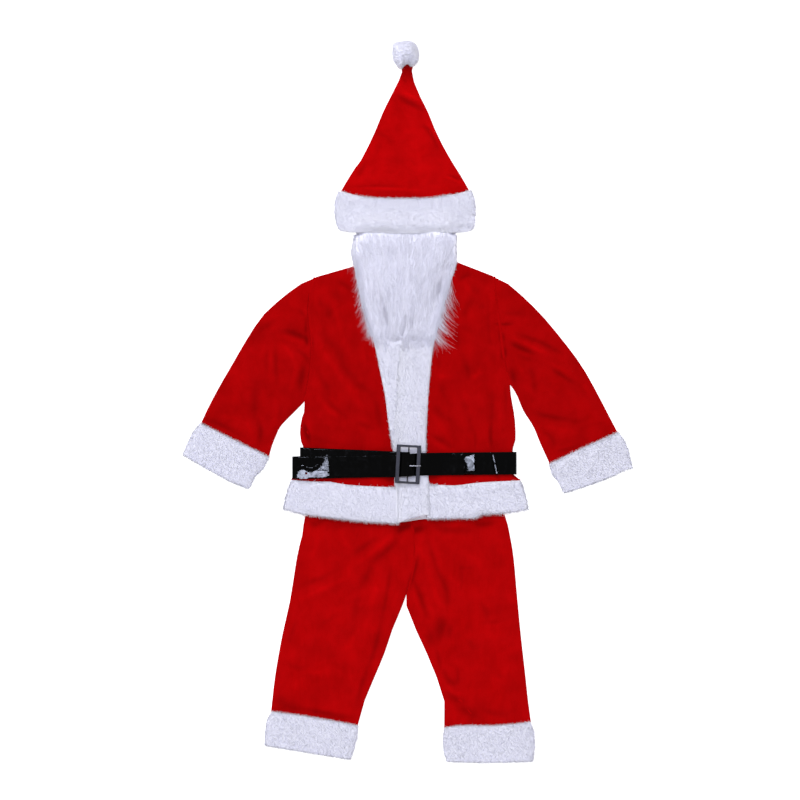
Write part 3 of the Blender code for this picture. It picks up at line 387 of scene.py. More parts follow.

# creases: x1, y1, x2, y2, x3, y3, height (below 0 in a hollow), width on the left of the way and
# on its right, or one width for both
# a hollow also paints shade into the cloth's colour and a ridge paints a highlight; some rows are
# painted shadows cast by other parts
redPieces = {
    "hat_front": dict(
        look=velourHat, flat=(0.256, 0.270), area=0.0342, rests=["hat_back"],
        pulls=[(3, 668, 5, 2, 9), (-10, 668, -5, 2, 9)], creases=[
        (-22, 612, 4, 597, 34, 582, -1.8, 5, 6), (-14, 618, 4, 612, 24, 600, 1.6, 4),
        # the first row below paints the shade on the hat's tip below the pompom
        (-8, 671, 2, 668, 9, 661, -1.4, 3), (-12, 650, -6, 642, -2, 636, -0.8, 4),
        (30, 552, 46, 536, 60, 504, -1.5, 4, 5), (36, 560, 50, 542, 60, 522, 0.7, 3),
        (-64, 540, -48, 531, -30, 520, -0.8, 5), (-56, 520, -60, 500, -74, 480, -0.6, 6),
        (-98, 450, -92, 464, -84, 478, -1.1, 5), (-84, 427, -40, 425, 24, 422, 1.5, 3),
        (-116, 430, -70, 431, -10, 430, -0.9, 3), (76, 449, 90, 444, 108, 437, 1.4, 3),
        (78, 453, 90, 450, 104, 445, -0.9, 3), (44, 432, 54, 430, 66, 426, 0.5, 4),
        (2, 488, 10, 478, 16, 468, -0.4, 5)]),
    "hat_back": dict(
        look=velourHat, flat=(0.256, 0.270), area=0.0338, rests=["floor"],
        pulls=[(3, 668, 5, 2, 9), (-10, 668, -5, 2, 9)], creases=[]),
    "jacket_back": dict(
        look=velourBody, flat=(0.457, 0.450), area=0.1712, rests=["floor"], creases=[]),
    "jacket_front_right": dict(
        look=velourBody, flat=(0.208, 0.441), area=0.0622, rests=["jacket_back"], creases=[
        (-140, 240, -126, 234, -112, 222, -1.1, 6), (-166, 248, -148, 252, -124, 254, 0.7, 6),
        (-176, 204, -174, 196, -170, 186, -0.6, 5), (-152, 228, -142, 212, -124, 202, -0.7, 9),
        (-160, 190, -158, 176, -160, 164, -0.7, 7), (-152, 204, -140, 168, -126, 118, 0.9, 7),
        (-168, 128, -144, 108, -124, 70, -0.9, 10, 9), (-182, 120, -150, 74, -104, 12, 1.3, 9),
        (-110, 20, -98, -4, -86, -30, 0.8, 8), (-182, 66, -168, 38, -156, 12, -0.9, 7, 6),
        (-152, 24, -150, 8, -148, -4, 0.5, 5), (-176, 6, -160, -16, -138, -28, 1.1, 5),
        (-162, 6, -146, -12, -120, -32, -0.9, 5), (-132, 72, -104, 40, -66, 10, -0.9, 9),
        (-64, 4, -58, -28, -48, -64, -1.0, 6), (-88, 120, -90, 96, -86, 66, 0.7, 7),
        (-106, -40, -86, -48, -64, -56, -0.8, 6), (-208, -44, -203, -60, -196, -82, -3.0, 5),
        (-200, -36, -197, -52, -192, -66, 0.8, 4), (-201, 184, -197, 162, -195, 140, 0.9, 3, 4),
        (-194, 132, -194, 122, -191, 112, -2.0, 4, 3), (-192, -70, -150, -84, -110, -86, -0.6, 6)]),
    "jacket_front_left": dict(
        look=velourBody, flat=(0.188, 0.445), area=0.0630, rests=["jacket_back"], creases=[
        (102, 242, 112, 250, 126, 256, -1.0, 5), (126, 230, 136, 222, 142, 214, -0.7, 7),
        (110, 238, 118, 230, 124, 218, 0.6, 5), (104, 206, 94, 192, 86, 176, -0.8, 6),
        (128, 206, 118, 186, 108, 170, -0.8, 7), (142, 190, 150, 189, 160, 188, -0.5, 5),
        (166, 216, 168, 190, 166, 160, 0.6, 5), (162, 196, 161, 150, 164, 112, -0.6, 4),
        (104, 134, 118, 134, 136, 128, 0.8, 9), (98, 164, 98, 130, 108, 84, -0.7, 6),
        (112, 90, 120, 60, 124, 38, -0.9, 6), (126, 46, 138, 54, 148, 70, 1.2, 6),
        (62, 52, 70, 50, 78, 48, 0.9, 5), (64, 42, 68, 24, 76, 6, -0.8, 6),
        (50, -8, 64, -24, 90, -40, -0.9, 8), (58, -38, 72, -58, 92, -84, 0.9, 8, 7),
        (48, -66, 64, -76, 90, -92, -1.2, 6), (50, -80, 58, -86, 72, -94, 0.7, 5),
        (112, 0, 120, -30, 130, -70, -0.6, 6), (134, -60, 135, -80, 134, -98, -0.9, 3),
        (108, 24, 118, 4, 126, -20, 0.5, 6), (168, 30, 168, -10, 167, -50, -0.8, 5),
        (167, -44, 165, -66, 168, -94, -1.8, 4), (182, 0, 184, -40, 184, -76, 0.8, 6),
        (194, 36, 196, 10, 196, -16, -0.8, 3), (174, 156, 186, 155, 202, 156, -1.8, 3),
        (184, 142, 185, 130, 186, 118, -1.6, 4), (188, 112, 189, 98, 190, 84, -2.0, 4),
        (182, 104, 180, 92, 181, 80, 0.7, 4, 3)]),
    "sleeve_right": dict(
        look=velourSleeve, flat=(0.260, 0.330), area=0.0839, rests=["floor"], creases=[
        (-300, 138, -280, 154, -256, 166, -0.7, 6), (-250, 142, -224, 136, -200, 122, -1.6, 6),
        (-256, 132, -230, 124, -208, 116, 1.2, 5, 6), (-256, 118, -236, 98, -224, 76, 1.0, 5),
        (-224, 76, -226, 50, -236, 14, 1.0, 5), (-222, 104, -208, 94, -198, 78, -1.2, 5),
        (-206, 74, -212, 50, -214, 16, -1.5, 6), (-264, 116, -263, 80, -261, 36, -1.1, 4, 6),
        (-274, 100, -274, 84, -276, 50, 0.6, 4), (-282, 116, -282, 80, -284, 40, -0.5, 5),
        (-292, 124, -290, 106, -288, 90, 0.6, 6), (-306, 30, -306, -6, -302, -44, -0.8, 7),
        (-300, -36, -294, -58, -296, -84, -1.4, 6), (-290, 30, -288, 6, -290, -16, 0.6, 5),
        (-322, -30, -316, -54, -304, -78, 1.0, 6), (-404, -36, -366, -50, -324, -74, -1.3, 7, 6),
        (-376, -26, -360, -30, -340, -34, 0.7, 5), (-258, -2, -254, -18, -258, -30, -0.5, 5),
        (-264, -14, -268, -40, -280, -66, 0.7, 6), (-203, 170, -204, 150, -204, 136, -1.3, 3),
        (-204, 132, -202, 122, -202, 112, -2.0, 3, 4), (-216, 186, -212, 178, -208, 170, -0.9, 4),
        (-204, 22, -203, 14, -205, 8, -1.6, 4)]),
    "sleeve_left": dict(
        look=velourSleeve, flat=(0.260, 0.340), area=0.0854, rests=["floor"], creases=[
        (222, 132, 262, 120, 308, 96, -1.3, 5), (210, 128, 246, 110, 286, 92, 1.6, 5),
        (206, 117, 226, 107, 252, 96, -2.0, 5), (222, 92, 236, 86, 252, 84, -0.8, 6),
        (222, 76, 226, 62, 234, 50, 0.8, 6), (204, 66, 210, 52, 212, 36, -1.4, 6),
        (246, 66, 251, 44, 255, 14, -1.0, 6), (232, 34, 238, 24, 246, 16, 0.6, 6),
        (288, 66, 308, 52, 334, 36, -1.5, 5), (280, 78, 304, 66, 328, 54, 0.8, 5),
        (308, 32, 318, 22, 330, 12, 0.7, 9), (254, -22, 284, -30, 336, -38, -1.3, 6),
        (266, -48, 294, -54, 330, -58, 0.9, 7), (272, -60, 286, -72, 292, -90, -0.8, 5),
        (300, -98, 316, -96, 340, -88, -1.0, 4, 5), (186, 178, 210, 176, 240, 178, -0.7, 6),
        (352, 34, 360, 20, 366, 6, 0.8, 5), (180, 156, 194, 155, 208, 156, -1.8, 3),
        (190, 140, 190, 130, 192, 120, -1.4, 4), (193, 110, 194, 98, 194, 86, -1.8, 4)]),
    "trouser_front_right": dict(
        look=velourLeg, flat=(0.288, 0.465), area=0.0972, rests=["trouser_back_right"], creases=[
        # these three rows paint the jacket hem's shadow on the trousers
        (-196, -240, -184, -244, -172, -236, -1.8, 7),
        (-170, -246, -140, -250, -104, -248, -0.8, 8), (-24, -262, -8, -252, 10, -246, -2.2, 7),
        (-186, -262, -182, -284, -192, -310, 0.8, 5), (-176, -268, -168, -284, -170, -300, 0.5, 4),
        (-128, -278, -120, -286, -110, -294, 0.8, 7), (-60, -272, -84, -286, -106, -304, -1.1, 6),
        (-28, -262, -60, -292, -96, -320, 1.3, 6), (-18, -272, -44, -298, -74, -322, -1.2, 7, 6),
        (-72, -324, -82, -348, -98, -376, -1.1, 8), (-96, -378, -104, -412, -112, -444, -0.8, 7),
        (-150, -340, -182, -356, -212, -366, -1.0, 7, 6),
        (-112, -346, -160, -370, -214, -394, 0.9, 6), (-106, -320, -118, -336, -124, -350, 0.6, 7),
        (-58, -340, -70, -396, -86, -460, 0.9, 8), (-34, -330, -42, -384, -52, -430, -1.2, 5),
        (-52, -430, -64, -486, -78, -530, -1.3, 6, 5),
        (-78, -528, -92, -566, -104, -610, -1.2, 7, 5), (-18, -376, -34, -424, -46, -470, 0.5, 4),
        (-96, -450, -110, -476, -124, -500, 0.8, 6), (-140, -424, -154, -434, -168, -444, -0.5, 5),
        (-222, -432, -229, -456, -238, -480, -0.7, 5),
        (-196, -524, -214, -532, -242, -524, -0.7, 6), (-200, -538, -184, -542, -164, -536, 0.7, 6),
        (-256, -584, -246, -604, -214, -616, -1.4, 12),
        (-224, -612, -170, -622, -112, -632, -1.6, 6, 8), (8, -340, 2, -368, -6, -396, -1.6, 4)]),
    "trouser_front_left": dict(
        look=velourLeg, flat=(0.250, 0.470), area=0.0910, rests=["trouser_back_left"], creases=[
        # the first three rows paint the jacket hem's shadow on the trousers
        (-6, -252, 16, -256, 44, -246, -2.0, 8, 7), (50, -250, 90, -256, 128, -254, -1.2, 8),
        (134, -244, 154, -244, 176, -240, -1.7, 7), (22, -306, 13, -334, 2, -376, -1.8, 5),
        (28, -272, 24, -294, 32, -312, 0.8, 6), (42, -278, 54, -322, 66, -350, -0.9, 5),
        (62, -346, 76, -374, 80, -410, -1.4, 6), (38, -304, 38, -334, 46, -356, 0.7, 6),
        (46, -350, 54, -378, 62, -410, 1.0, 6), (12, -358, 26, -392, 40, -432, -1.2, 5),
        (10, -376, 16, -396, 26, -424, 0.7, 4), (38, -390, 46, -412, 52, -434, 0.6, 5),
        (60, -430, 66, -452, 52, -480, -1.7, 12), (40, -450, 44, -470, 42, -484, -1.0, 7),
        (80, -440, 84, -458, 80, -472, -0.8, 6), (56, -494, 62, -516, 64, -540, -0.9, 4),
        (70, -534, 82, -558, 98, -562, -1.3, 6), (98, -530, 100, -548, 98, -564, -0.9, 4),
        (78, -568, 90, -580, 106, -582, 0.8, 4), (78, -582, 96, -595, 120, -597, -1.0, 6),
        (84, -604, 92, -620, 96, -636, 0.5, 3), (100, -606, 122, -620, 146, -636, -1.0, 9, 10),
        (146, -610, 170, -622, 206, -626, -1.1, 9, 8), (106, -320, 108, -350, 106, -378, -0.7, 4),
        (102, -330, 116, -332, 130, -330, -0.5, 4), (142, -400, 156, -420, 154, -440, -0.6, 6),
        (146, -442, 170, -440, 200, -438, -0.5, 4), (118, -476, 126, -484, 130, -496, -0.7, 6),
        (128, -534, 144, -530, 156, -540, 0.5, 6), (108, -430, 110, -450, 108, -470, 0.5, 5),
        (178, -544, 184, -549, 190, -553, -0.7, 5)]),
    "trouser_back_right": dict(
        look=velourLeg, flat=(0.288, 0.465), area=0.0968, rests=["floor"], creases=[]),
    "trouser_back_left": dict(
        look=velourLeg, flat=(0.250, 0.470), area=0.0907, rests=["floor"], creases=[]),
}


def makeRed(node, spec, seed):
    bm = mergedCopy(node)
    shown = markShown(bm, nodeTrees[node])
    if spec["creases"]:
        # a colour mark on the points for the painted shade and highlight of the folds
        nap = bm.verts.layers.float.new("nap")
        refine(bm, shown, clothShape["edge"] * mm)
        verts = shownVerts(bm, shown)
        soften(bm, verts, clothShape["soften"])
        crease(verts, spec["creases"], seed, nap)
    pullCorners(bm, spec.get("pulls", []))
    piece = finishPiece(node + "_cloth", bm, spec["look"])
    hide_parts(node)
    return piece


def topsOf(pieces):
    # the points of the shown sides, found by their place in plan
    tops = []
    for piece in pieces:
        data = piece.data
        shown = data.attributes["shown"].data
        held = {i for p in data.polygons if shown[p.index].value for i in p.vertices}
        tops += [data.vertices[i].co.copy() for i in sorted(held)]
    tree = KDTree(len(tops))
    for i, co in enumerate(tops):
        tree.insert((co.x, co.y, 0), i)
    tree.balance()
    return tops, tree


seamMeet = {"reach": 15.0, "near": 14, "percent": 82}


def meetAtSeam(first, second):
    # brings two cloths to one height where they are sewn together
    reach = seamMeet["reach"]
    bothTops, bothTree = topsOf((first, second))
    moves = []
    for piece, other in ((first, second), (second, first)):
        ownTops, ownTree = topsOf((piece,))
        otherTree = topsOf((other,))[1]
        for v in piece.data.vertices:
            place = (v.co.x, v.co.y, 0)
            gap = otherTree.find(place)[2] / mm
            if gap < reach:
                near = bothTree.find_range(place, seamMeet["near"] * mm)
                level = np.percentile([bothTops[i].z for _, i, _ in near], seamMeet["percent"])
                own = ownTops[ownTree.find(place)[1]].z
                moves.append((v, max(level - own, 0) * smooth(1 - gap / reach)))
    for v, rise in moves:
        v.co.z += rise


redMade = {node: makeRed(node, spec, 3.0 * i) for i, (node, spec) in enumerate(redPieces.items())}
for first, second in (("sleeve_right", "jacket_front_right"),
                      ("sleeve_left", "jacket_front_left"),
                      ("trouser_front_right", "trouser_front_left")):
    meetAtSeam(redMade[first], redMade[second])
print("red cloth", sum(len(o.data.polygons) for o in redMade.values()))


# white trims
trimShape = {
    "edge": 2.6,
    "soften": 8,
    "lump": 0.072,  # mm, rise of the clumped pile
    "lumpSize": 9.0,
}

# lean is the way in which the pile is brushed, in plan; settled rows press a stretch down to a
# level and raised rows lift one; slides move a stretch sideways
whitePieces = {
    "hat_band": dict(
        flat=(0.550, 0.085), area=0.0440, rests=["beard"], lean=(0.1, -0.7), soften=50,
        settled=[(12, -140, 341, 4, 337, 150, 343, 0.60, 12),
                 (12, 100, 346, 120, 346, 140, 348, 0.35, 14)],
        dents=[(-92, 344, -40, 341, 8, 340, -1.3, 3), (90, 352, 112, 347, 136, 345, -1.2, 6)]),
    "collar": dict(flat=(0.211, 0.075), area=0.0150, rests=["floor"], lean=(0.0, -0.7)),
    "front_band_right": dict(
        flat=(0.060, 0.600), area=0.0347, rests=["jacket_back"], lean=(0.15, -0.7),
        pulls=[(38, -243, 0, 8, 42), (4, -247, 0, 4, 30)],
        raised=[(8.8, -10, 140, -19, 40, -29, -100, 0.95, 12, 28),
                (10.1, -18, 40, -29, -100, -34, -240, 0.95, 12, 28)]),
    "front_band_left": dict(
        flat=(0.068, 0.590), area=0.0392, rests=["front_band_right"], lean=(0.0, -0.8),
        comb=(0.0, -0.5),
        pulls=[(38, -243, 0, 8, 42), (4, -247, 0, 4, 30)],
        slides=[(2.8, 0, 42, -110, 42, -200, 43, -290, 1, 8),
                (-1.6, 0, -26, -110, -24, -200, -22, -290, 1, 8)],
        settled=[(18.5, 42, -110, 43, -200, 44, -290, 0.98, 20),
                 (17.8, -26, -110, -25, -200, -23, -290, 0.9, 12),
                 (9.0, 4, 300, -16, 100, -29, -100, 0.98, 26, 12),
                 (10.3, -18, 40, -29, -100, -34, -240, 0.98, 22, 12)]),
    "hem_back": dict(
        flat=(0.489, 0.072), area=0.0335, rests=["trouser_front_left"], lean=(0.0, -0.6)),
    "hem_front_right": dict(
        flat=(0.228, 0.073), area=0.0160, rests=["hem_back"], lean=(-0.1, -0.7),
        comb=(0.0, -0.9), sizes=(0.7, 1.7),
        slides=[(3, 0, -27, -110, -25, -200, -23, -290, 1, 7)],
        raised=[(17.6, -27, -110, -25, -200, -23, -290, 0.9, 10, 22)]),
    "hem_front_left": dict(
        flat=(0.199, 0.068), area=0.0132, rests=["hem_back"], lean=(0.1, -0.7),
        comb=(0.0, -0.9), sizes=(0.7, 1.7),
        slides=[(-4, 0, 43, -110, 43, -200, 44, -290, 1, 7)],
        raised=[(18.3, 43, -110, 43, -200, 44, -290, 0.95, 26, 10)]),
    "sleeve_cuff_right": dict(
        flat=(0.306, 0.080), area=0.0238, rests=["floor"], lean=(-0.5, -0.6),
        pulls=[(-330, -169, 10, -3, 30)]),
    "sleeve_cuff_left": dict(
        flat=(0.306, 0.080), area=0.0229, rests=["floor"], lean=(0.5, -0.6),
        pulls=[(324, -178, -8.6, -2.6, 30), (447, -116, 1, -8, 26)]),
    "trouser_cuff_right": dict(
        flat=(0.362, 0.078), area=0.0262, rests=["floor"], lean=(0.0, -0.5)),
    "trouser_cuff_left": dict(
        flat=(0.362, 0.078), area=0.0274, rests=["floor"], lean=(0.0, -0.8)),
}


def lump(bm, verts, rise, size, seed):
    bm.normal_update()
    moves = []
    for v in verts:
        place = Vector((v.co.x, v.co.y, v.co.z)) / (size * mm)
        place.z += seed
        wave = noise.noise(place) + 0.6 * noise.noise(place * 2.3)
        moves.append(v.normal * (wave * rise * mm))
    for v, move in zip(verts, moves):
        v.co += move


redTree = treeOf(redPieces)


def weighPile(piece, node):
    # where the pile grows: not inside a tube, nor where another layer lies on it; the rim, with a
    # longer fringe, is where the plush turns down, but not where it meets the red cloth
    data = piece.data
    own = treeOfMesh(data)
    others = treeOf([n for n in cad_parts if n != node])
    pile = data.attributes.new("pile", "FLOAT", "POINT")
    rim = data.attributes.new("rim", "FLOAT", "POINT")
    calm = data.attributes.get("calm")
    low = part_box(node)[0].z
    for v in data.vertices:
        shows = (v.normal.z > -0.2 and v.co.z > low + 0.4 * mm
                 and own.ray_cast(v.co + up * 0.8 * mm, up)[0] is None
                 and others.ray_cast(v.co + up * 1.2 * mm, up)[0] is None)
        pile.data[v.index].value = float(shows)
        fringed = float(shows and 0.1 < v.normal.z < 0.75)
        if calm:
            fringed *= 1 - calm.data[v.index].value
        beside = redTree.find_nearest(v.co)[3]
        rim.data[v.index].value = fringed * (0.15 if beside < 4 * mm else 1)


def makeTuft(name, length, radius, bend):
    # a three-sided lock, closed, that leans over to its tip
    bm = bmesh.new()
    bmesh.ops.create_cone(bm, cap_ends=True, segments=3, radius1=radius * mm, radius2=0,
                          depth=length * mm)
    bmesh.ops.remove_doubles(bm, verts=bm.verts[:], dist=0.01 * mm)
    bmesh.ops.translate(bm, vec=(0, 0, length * mm / 2), verts=bm.verts[:])
    tip = max(bm.verts, key=lambda v: v.co.z)
    tip.co.x += bend * length * mm * 0.5
    return placed(name, meshFrom(bm, name))


def growPile(name, base, weight, tuft, density, lean, wild, sizes, look, seed):
    # scatters the lock over the base by its weight, and keeps the real mesh
    tree = bpy.data.node_groups.new(name, "GeometryNodeTree")
    for way in ("INPUT", "OUTPUT"):
        tree.interface.new_socket("Geometry", in_out=way, socket_type="NodeSocketGeometry")
    add, link = tree.nodes.new, tree.links.new
    into, out = add("NodeGroupInput"), add("NodeGroupOutput")
    scatter = setInputs(add("GeometryNodeDistributePointsOnFaces"), {"Seed": seed})
    amount = add("GeometryNodeInputNamedAttribute")
    amount.data_type = "FLOAT"
    setInputs(amount, {"Name": weight})
    dense = mathNode(tree, "MULTIPLY", amount.outputs["Attribute"], density)
    link(into.outputs[0], scatter.inputs["Mesh"])
    link(dense, scatter.inputs["Density"])
    stray = add("FunctionNodeRandomValue")
    stray.data_type = "FLOAT_VECTOR"
    setInputs(stray, {"Min": (-wild, -wild, -wild * 0.4), "Max": (wild, wild, wild),
                      "Seed": seed + 1})
    way = scatter.outputs["Normal"]
    for part in ((lean[0], lean[1], 0.0), stray.outputs["Value"]):
        both = add("ShaderNodeVectorMath")
        both.operation = "ADD"
        link(way, both.inputs[0])
        if isinstance(part, tuple):
            both.inputs[1].default_value = part
        else:
            link(part, both.inputs[1])
        way = both.outputs[0]
    align = add("FunctionNodeAlignRotationToVector")
    align.axis = "Z"
    link(way, align.inputs["Vector"])
    size = add("FunctionNodeRandomValue")
    size.data_type = "FLOAT"
    for socket in size.inputs:
        if socket.enabled and socket.name in ("Min", "Max"):
            socket.default_value = sizes[0] if socket.name == "Min" else sizes[1]
    size.inputs["Seed"].default_value = seed + 2
    source = setInputs(add("GeometryNodeObjectInfo"), {"Object": tuft})
    plant = add("GeometryNodeInstanceOnPoints")
    link(scatter.outputs["Points"], plant.inputs["Points"])
    link(source.outputs["Geometry"], plant.inputs["Instance"])
    link(align.outputs["Rotation"], plant.inputs["Rotation"])
    link([s for s in size.outputs if s.enabled][0], plant.inputs["Scale"])
    real = add("GeometryNodeRealizeInstances")
    link(plant.outputs["Instances"], real.inputs["Geometry"])
    link(real.outputs["Geometry"], out.inputs[0])
    holder = placed(name, base.data.copy())
    holder.modifiers.new("grow", "NODES").node_group = tree
    bpy.context.view_layer.update()
    grown = holder.evaluated_get(bpy.context.evaluated_depsgraph_get())
    mesh = bpy.data.meshes.new_from_object(grown)
    holder.modifiers.clear()
    holder.data = mesh
    mesh.name = name
    mesh.materials.clear()
    mesh.materials.append(look)
    mesh.shade_smooth()
    for v in mesh.vertices:  # no lock goes down through the floor
        v.co.z = max(abs(v.co.z), 0.05 * mm)
    bpy.data.node_groups.remove(tree)
    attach(holder, "root")
    return holder


pileShape = {
    "tuft": (3.2, 0.46, 0.9),  # length, radius at the root, bend
    "density": 260000,  # locks on a square metre
    "brush": 1.7,  # how far the locks lean
    "wild": 0.28,  # how much each strays from that
    "sizes": (0.8, 1.05),
    "fringe": (4.6, 0.40, 0.5),
    "fringeDensity": 1200000,
    "fringeWild": 0.9,
    "fringeSizes": (0.6, 1.2),
}
shortTuft = makeTuft("short_tuft", *pileShape["tuft"])
fringeTuft = makeTuft("fringe_tuft", *pileShape["fringe"])


def makeWhite(node, spec, seed):
    bm = mergedCopy(node)
    calm = bm.verts.layers.float.new("calm")
    shown = markShown(bm, nodeTrees[node])
    refine(bm, shown, trimShape["edge"] * mm)
    verts = shownVerts(bm, shown)
    soften(bm, verts, spec.get("soften", trimShape["soften"]))
    rise = creaseRise(planOf(verts), spec.get("dents", []))
    for v, height in zip(verts, rise):
        v.co.z += height * mm
    every = bm.verts[:]
    places = planOf(every)
    for dx, dy, *row in spec.get("slides", []):
        for v, share in zip(every, creaseRise(places, [row])):
            v.co += Vector((dx, dy, 0)) * (float(share) * mm)
    for level, *row in spec.get("raised", []):
        for v, share in zip(every, creaseRise(places, [row])):
            if v.normal.z > 0.2 and v.co.z < level * mm:
                v.co.z += (level * mm - v.co.z) * min(share, 0.98)
    for level, *row in spec.get("settled", []):
        for v, share in zip(every, creaseRise(places, [row])):
            v[calm] = max(v[calm], min(2 * share, 1))
            if v.co.z > level * mm:
                v.co.z -= (v.co.z - level * mm) * min(share, 0.98)
    pullCorners(bm, spec.get("pulls", []))
    lump(bm, verts, trimShape["lump"], trimShape["lumpSize"], seed)
    piece = finishPiece(node + "_plush", bm, plushTrim, 60)
    weighPile(piece, node)
    pile = growPile(node + "_pile", piece, "pile", shortTuft, pileShape["density"],
                    [pileShape["brush"] * way for way in spec["lean"]], pileShape["wild"],
                    pileShape["sizes"], plushPile, int(seed * 10))
    fringe = growPile(node + "_fringe", piece, "rim", fringeTuft, pileShape["fringeDensity"],
                      spec.get("comb", (0.0, 0.0)), pileShape["fringeWild"],
                      spec.get("sizes", pileShape["fringeSizes"]), plushPile, int(seed * 10) + 5)
    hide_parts(node)
    return piece, pile, fringe


whiteMade = {node: makeWhite(node, spec, 1.0 + i)
             for i, (node, spec) in enumerate(whitePieces.items())}
print("white trims", [len(o.data.polygons) for made in whiteMade.values() for o in made])


pompom = {
    "in": 1.6,
    "tuft": (2.8, 0.50, 0.8),
    "density": 700000,
    "fringe": (4.8, 0.26, 0.5),
    "corners": [(-26, 714, -3, 3, 15), (17, 714, 2, 2, 14),
                (-27, 668, 4, 3, 16), (18, 667, -2, 3, 14)],
    "lobe": (-4.5, 686, 33, 14, 13, 13),  # fills the notch over the hat's tip: middle, then radii
}


def makePompom():
    bm = mergedCopy("hat_pompom")
    bmesh.ops.subdivide_edges(bm, edges=bm.edges[:], cuts=1, use_grid_fill=True)
    bmesh.ops.triangulate(bm, faces=[f for f in bm.faces if len(f.verts) > 3])
    bmesh.ops.smooth_vert(bm, verts=bm.verts[:], factor=0.5, use_axis_x=True,
                          use_axis_y=True, use_axis_z=True)
    bm.normal_update()
    for v in bm.verts:
        v.co -= v.normal * pompom["in"] * mm
    x, y, z, *radii = pompom["lobe"]
    lobe = bmesh.ops.create_icosphere(bm, subdivisions=4, radius=1.0)["verts"]
    bmesh.ops.scale(bm, vec=[r * mm for r in radii], verts=lobe)
    bmesh.ops.translate(bm, vec=(x * mm, y * mm, z * mm), verts=lobe)
    pullCorners(bm, pompom["corners"])
    lump(bm, bm.verts[:], 1.0, 9.0, 40.0)
    lift = -min(v.co.z for v in bm.verts)
    bmesh.ops.translate(bm, vec=(0, 0, lift), verts=bm.verts[:])
    piece = finishPiece("hat_pompom_core", bm, pompomLook, 60)
    weighPile(piece, "hat_pompom")
    for v, weight in zip(piece.data.vertices, piece.data.attributes["pile"].data):
        weight.value = float(v.co.z > 3 * mm)
    tuft = makeTuft("pompom_tuft", *pompom["tuft"])
    fine = makeTuft("pompom_fine_tuft", *pompom["fringe"])
    pile = growPile("hat_pompom_pile", piece, "pile", tuft, pompom["density"], (0, 0), 0.6,
                    (0.6, 1.0), pompomLook, 71)
    fringe = growPile("hat_pompom_fringe", piece, "pile", fine, pompom["density"] * 0.6, (0, 0),
                      0.8, (0.6, 1.1), pompomLook, 72)
    for made in (tuft, fine):
        bpy.data.objects.remove(made)
    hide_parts("hat_pompom")
    return piece, pile, fringe


pompomMade = makePompom()
for made in (shortTuft, fringeTuft):
    bpy.data.objects.remove(made)
print("pompom", [len(o.data.polygons) for o in pompomMade])


# edges of the dense hair, in mm down the beard
beardLeft = [(360, -107), (300, -108), (268, -105), (204, -92), (144, -75), (100, -60)]
beardRight = [(360, 98), (300, 101), (284, 98), (272, 92),
              (224, 75), (174, 60), (124, 49), (100, 44)]
beardShape = {
    "edge": 3.4,
    "soften": 10,
    "strands": 6000,
    "wispLocks": 560,
    "locks": 150,
    "steps": 5,
    "radius": 0.25,
    "puff": 6.5,  # how the hair swells below the hat's band
    "fall": 0.22,  # slope of the hair below a step
    "top": 352,
    "low": 102,
    "ragged": 32,  # over which the strands end
    "inset": 4,  # how far the backing and the locks stay inside the hair's edges
    "step": 8,  # between the levels read down the beard
    "loose": 134,  # below this there is only loose hair, and the backing is drawn up
    "looseShare": 0.3,
    "side": 24,  # width over which the hair thins to its sides
    "thin": 0.22,
    "bed": (128, 40),  # where the hair starts to lie level, and over how much
    "end": (116, 112, 0.03),  # where the hair runs out, over how much, and its least share
}
underBeard = treeOf([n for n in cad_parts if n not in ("beard", "hat_band")])


def edgeAt(table, y):
    rows = sorted(table)
    return float(np.interp(y, [r[0] for r in rows], [r[1] for r in rows]))


def puffAt(y):
    return beardShape["puff"] * smooth((y - 288) / 36) * smooth((345 - y) / 6)


def makeBeardBase():
    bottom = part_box("beard")[0].z
    inset, step = beardShape["inset"], beardShape["step"]
    downs = list(range(96, 216, step))
    bed = [max(topAt(x * mm, y * mm, underBeard) for x in range(-90, 80, 6)) for y in downs]
    bm = mergedCopy("beard")
    shown = markShown(bm, nodeTrees["beard"])
    refine(bm, shown, beardShape["edge"] * mm)
    verts = shownVerts(bm, shown)
    soften(bm, verts, beardShape["soften"])
    rows = {}
    for v in bm.verts:
        rows.setdefault(round(v.co.y / (step * mm)), []).append(v.co.x / mm)
    keys = sorted(rows)
    lows = [min(rows[k]) for k in keys]
    highs = [max(rows[k]) for k in keys]
    for v in bm.verts:
        y = v.co.y / mm
        low, high = np.interp(y / step, keys, lows), np.interp(y / step, keys, highs)
        share = (v.co.x / mm - low) / max(high - low, 1)
        inLow, inHigh = edgeAt(beardLeft, y) + inset, edgeAt(beardRight, y) - inset
        v.co.x = (inLow + share * (inHigh - inLow)) * mm
    loose, thin = beardShape["loose"] * mm, beardShape["thin"]
    bedStart, bedWidth = beardShape["bed"]
    endStart, endWidth, least = beardShape["end"]
    for v in bm.verts:
        if v.co.y < loose:
            v.co.y = loose - (loose - v.co.y) * beardShape["looseShare"]
        x, y = v.co.x / mm, v.co.y / mm
        under = topAt(v.co.x, v.co.y, underBeard)
        gap = min(x - edgeAt(beardLeft, y), edgeAt(beardRight, y) - x)
        side = smooth(gap / beardShape["side"])
        if v.co.z > under:  # the hair thins out to its sides and its lower end
            v.co.z = under + (v.co.z - under) * (thin + (1 - thin) * side)
        rest = float(np.interp(y, downs, bed))
        level = under + (rest - under) * smooth((y - bedStart) / bedWidth)
        if v.co.z > level:
            v.co.z = level + (v.co.z - level) * min(max((y - endStart) / endWidth, least), 1)
        if v.co.z > bottom + 5 * mm:
            v.co.z += puffAt(y) * (0.3 + 0.7 * side) * mm
    lump(bm, verts, 0.6, 14.0, 60.0)
    return finishPiece("beard_base", bm, beardLook, 60)


def flowAt(x, y, seed):
    middle = 0.5 * (edgeAt(beardLeft, y) + edgeAt(beardRight, y))
    wide = noise.noise(Vector((x / 34, y / 70, seed)))
    fine = noise.noise(Vector((x / 11, y / 24, seed + 5)))
    return -0.24 * (x - middle) / 90 + 0.34 * wide + 0.20 * fine


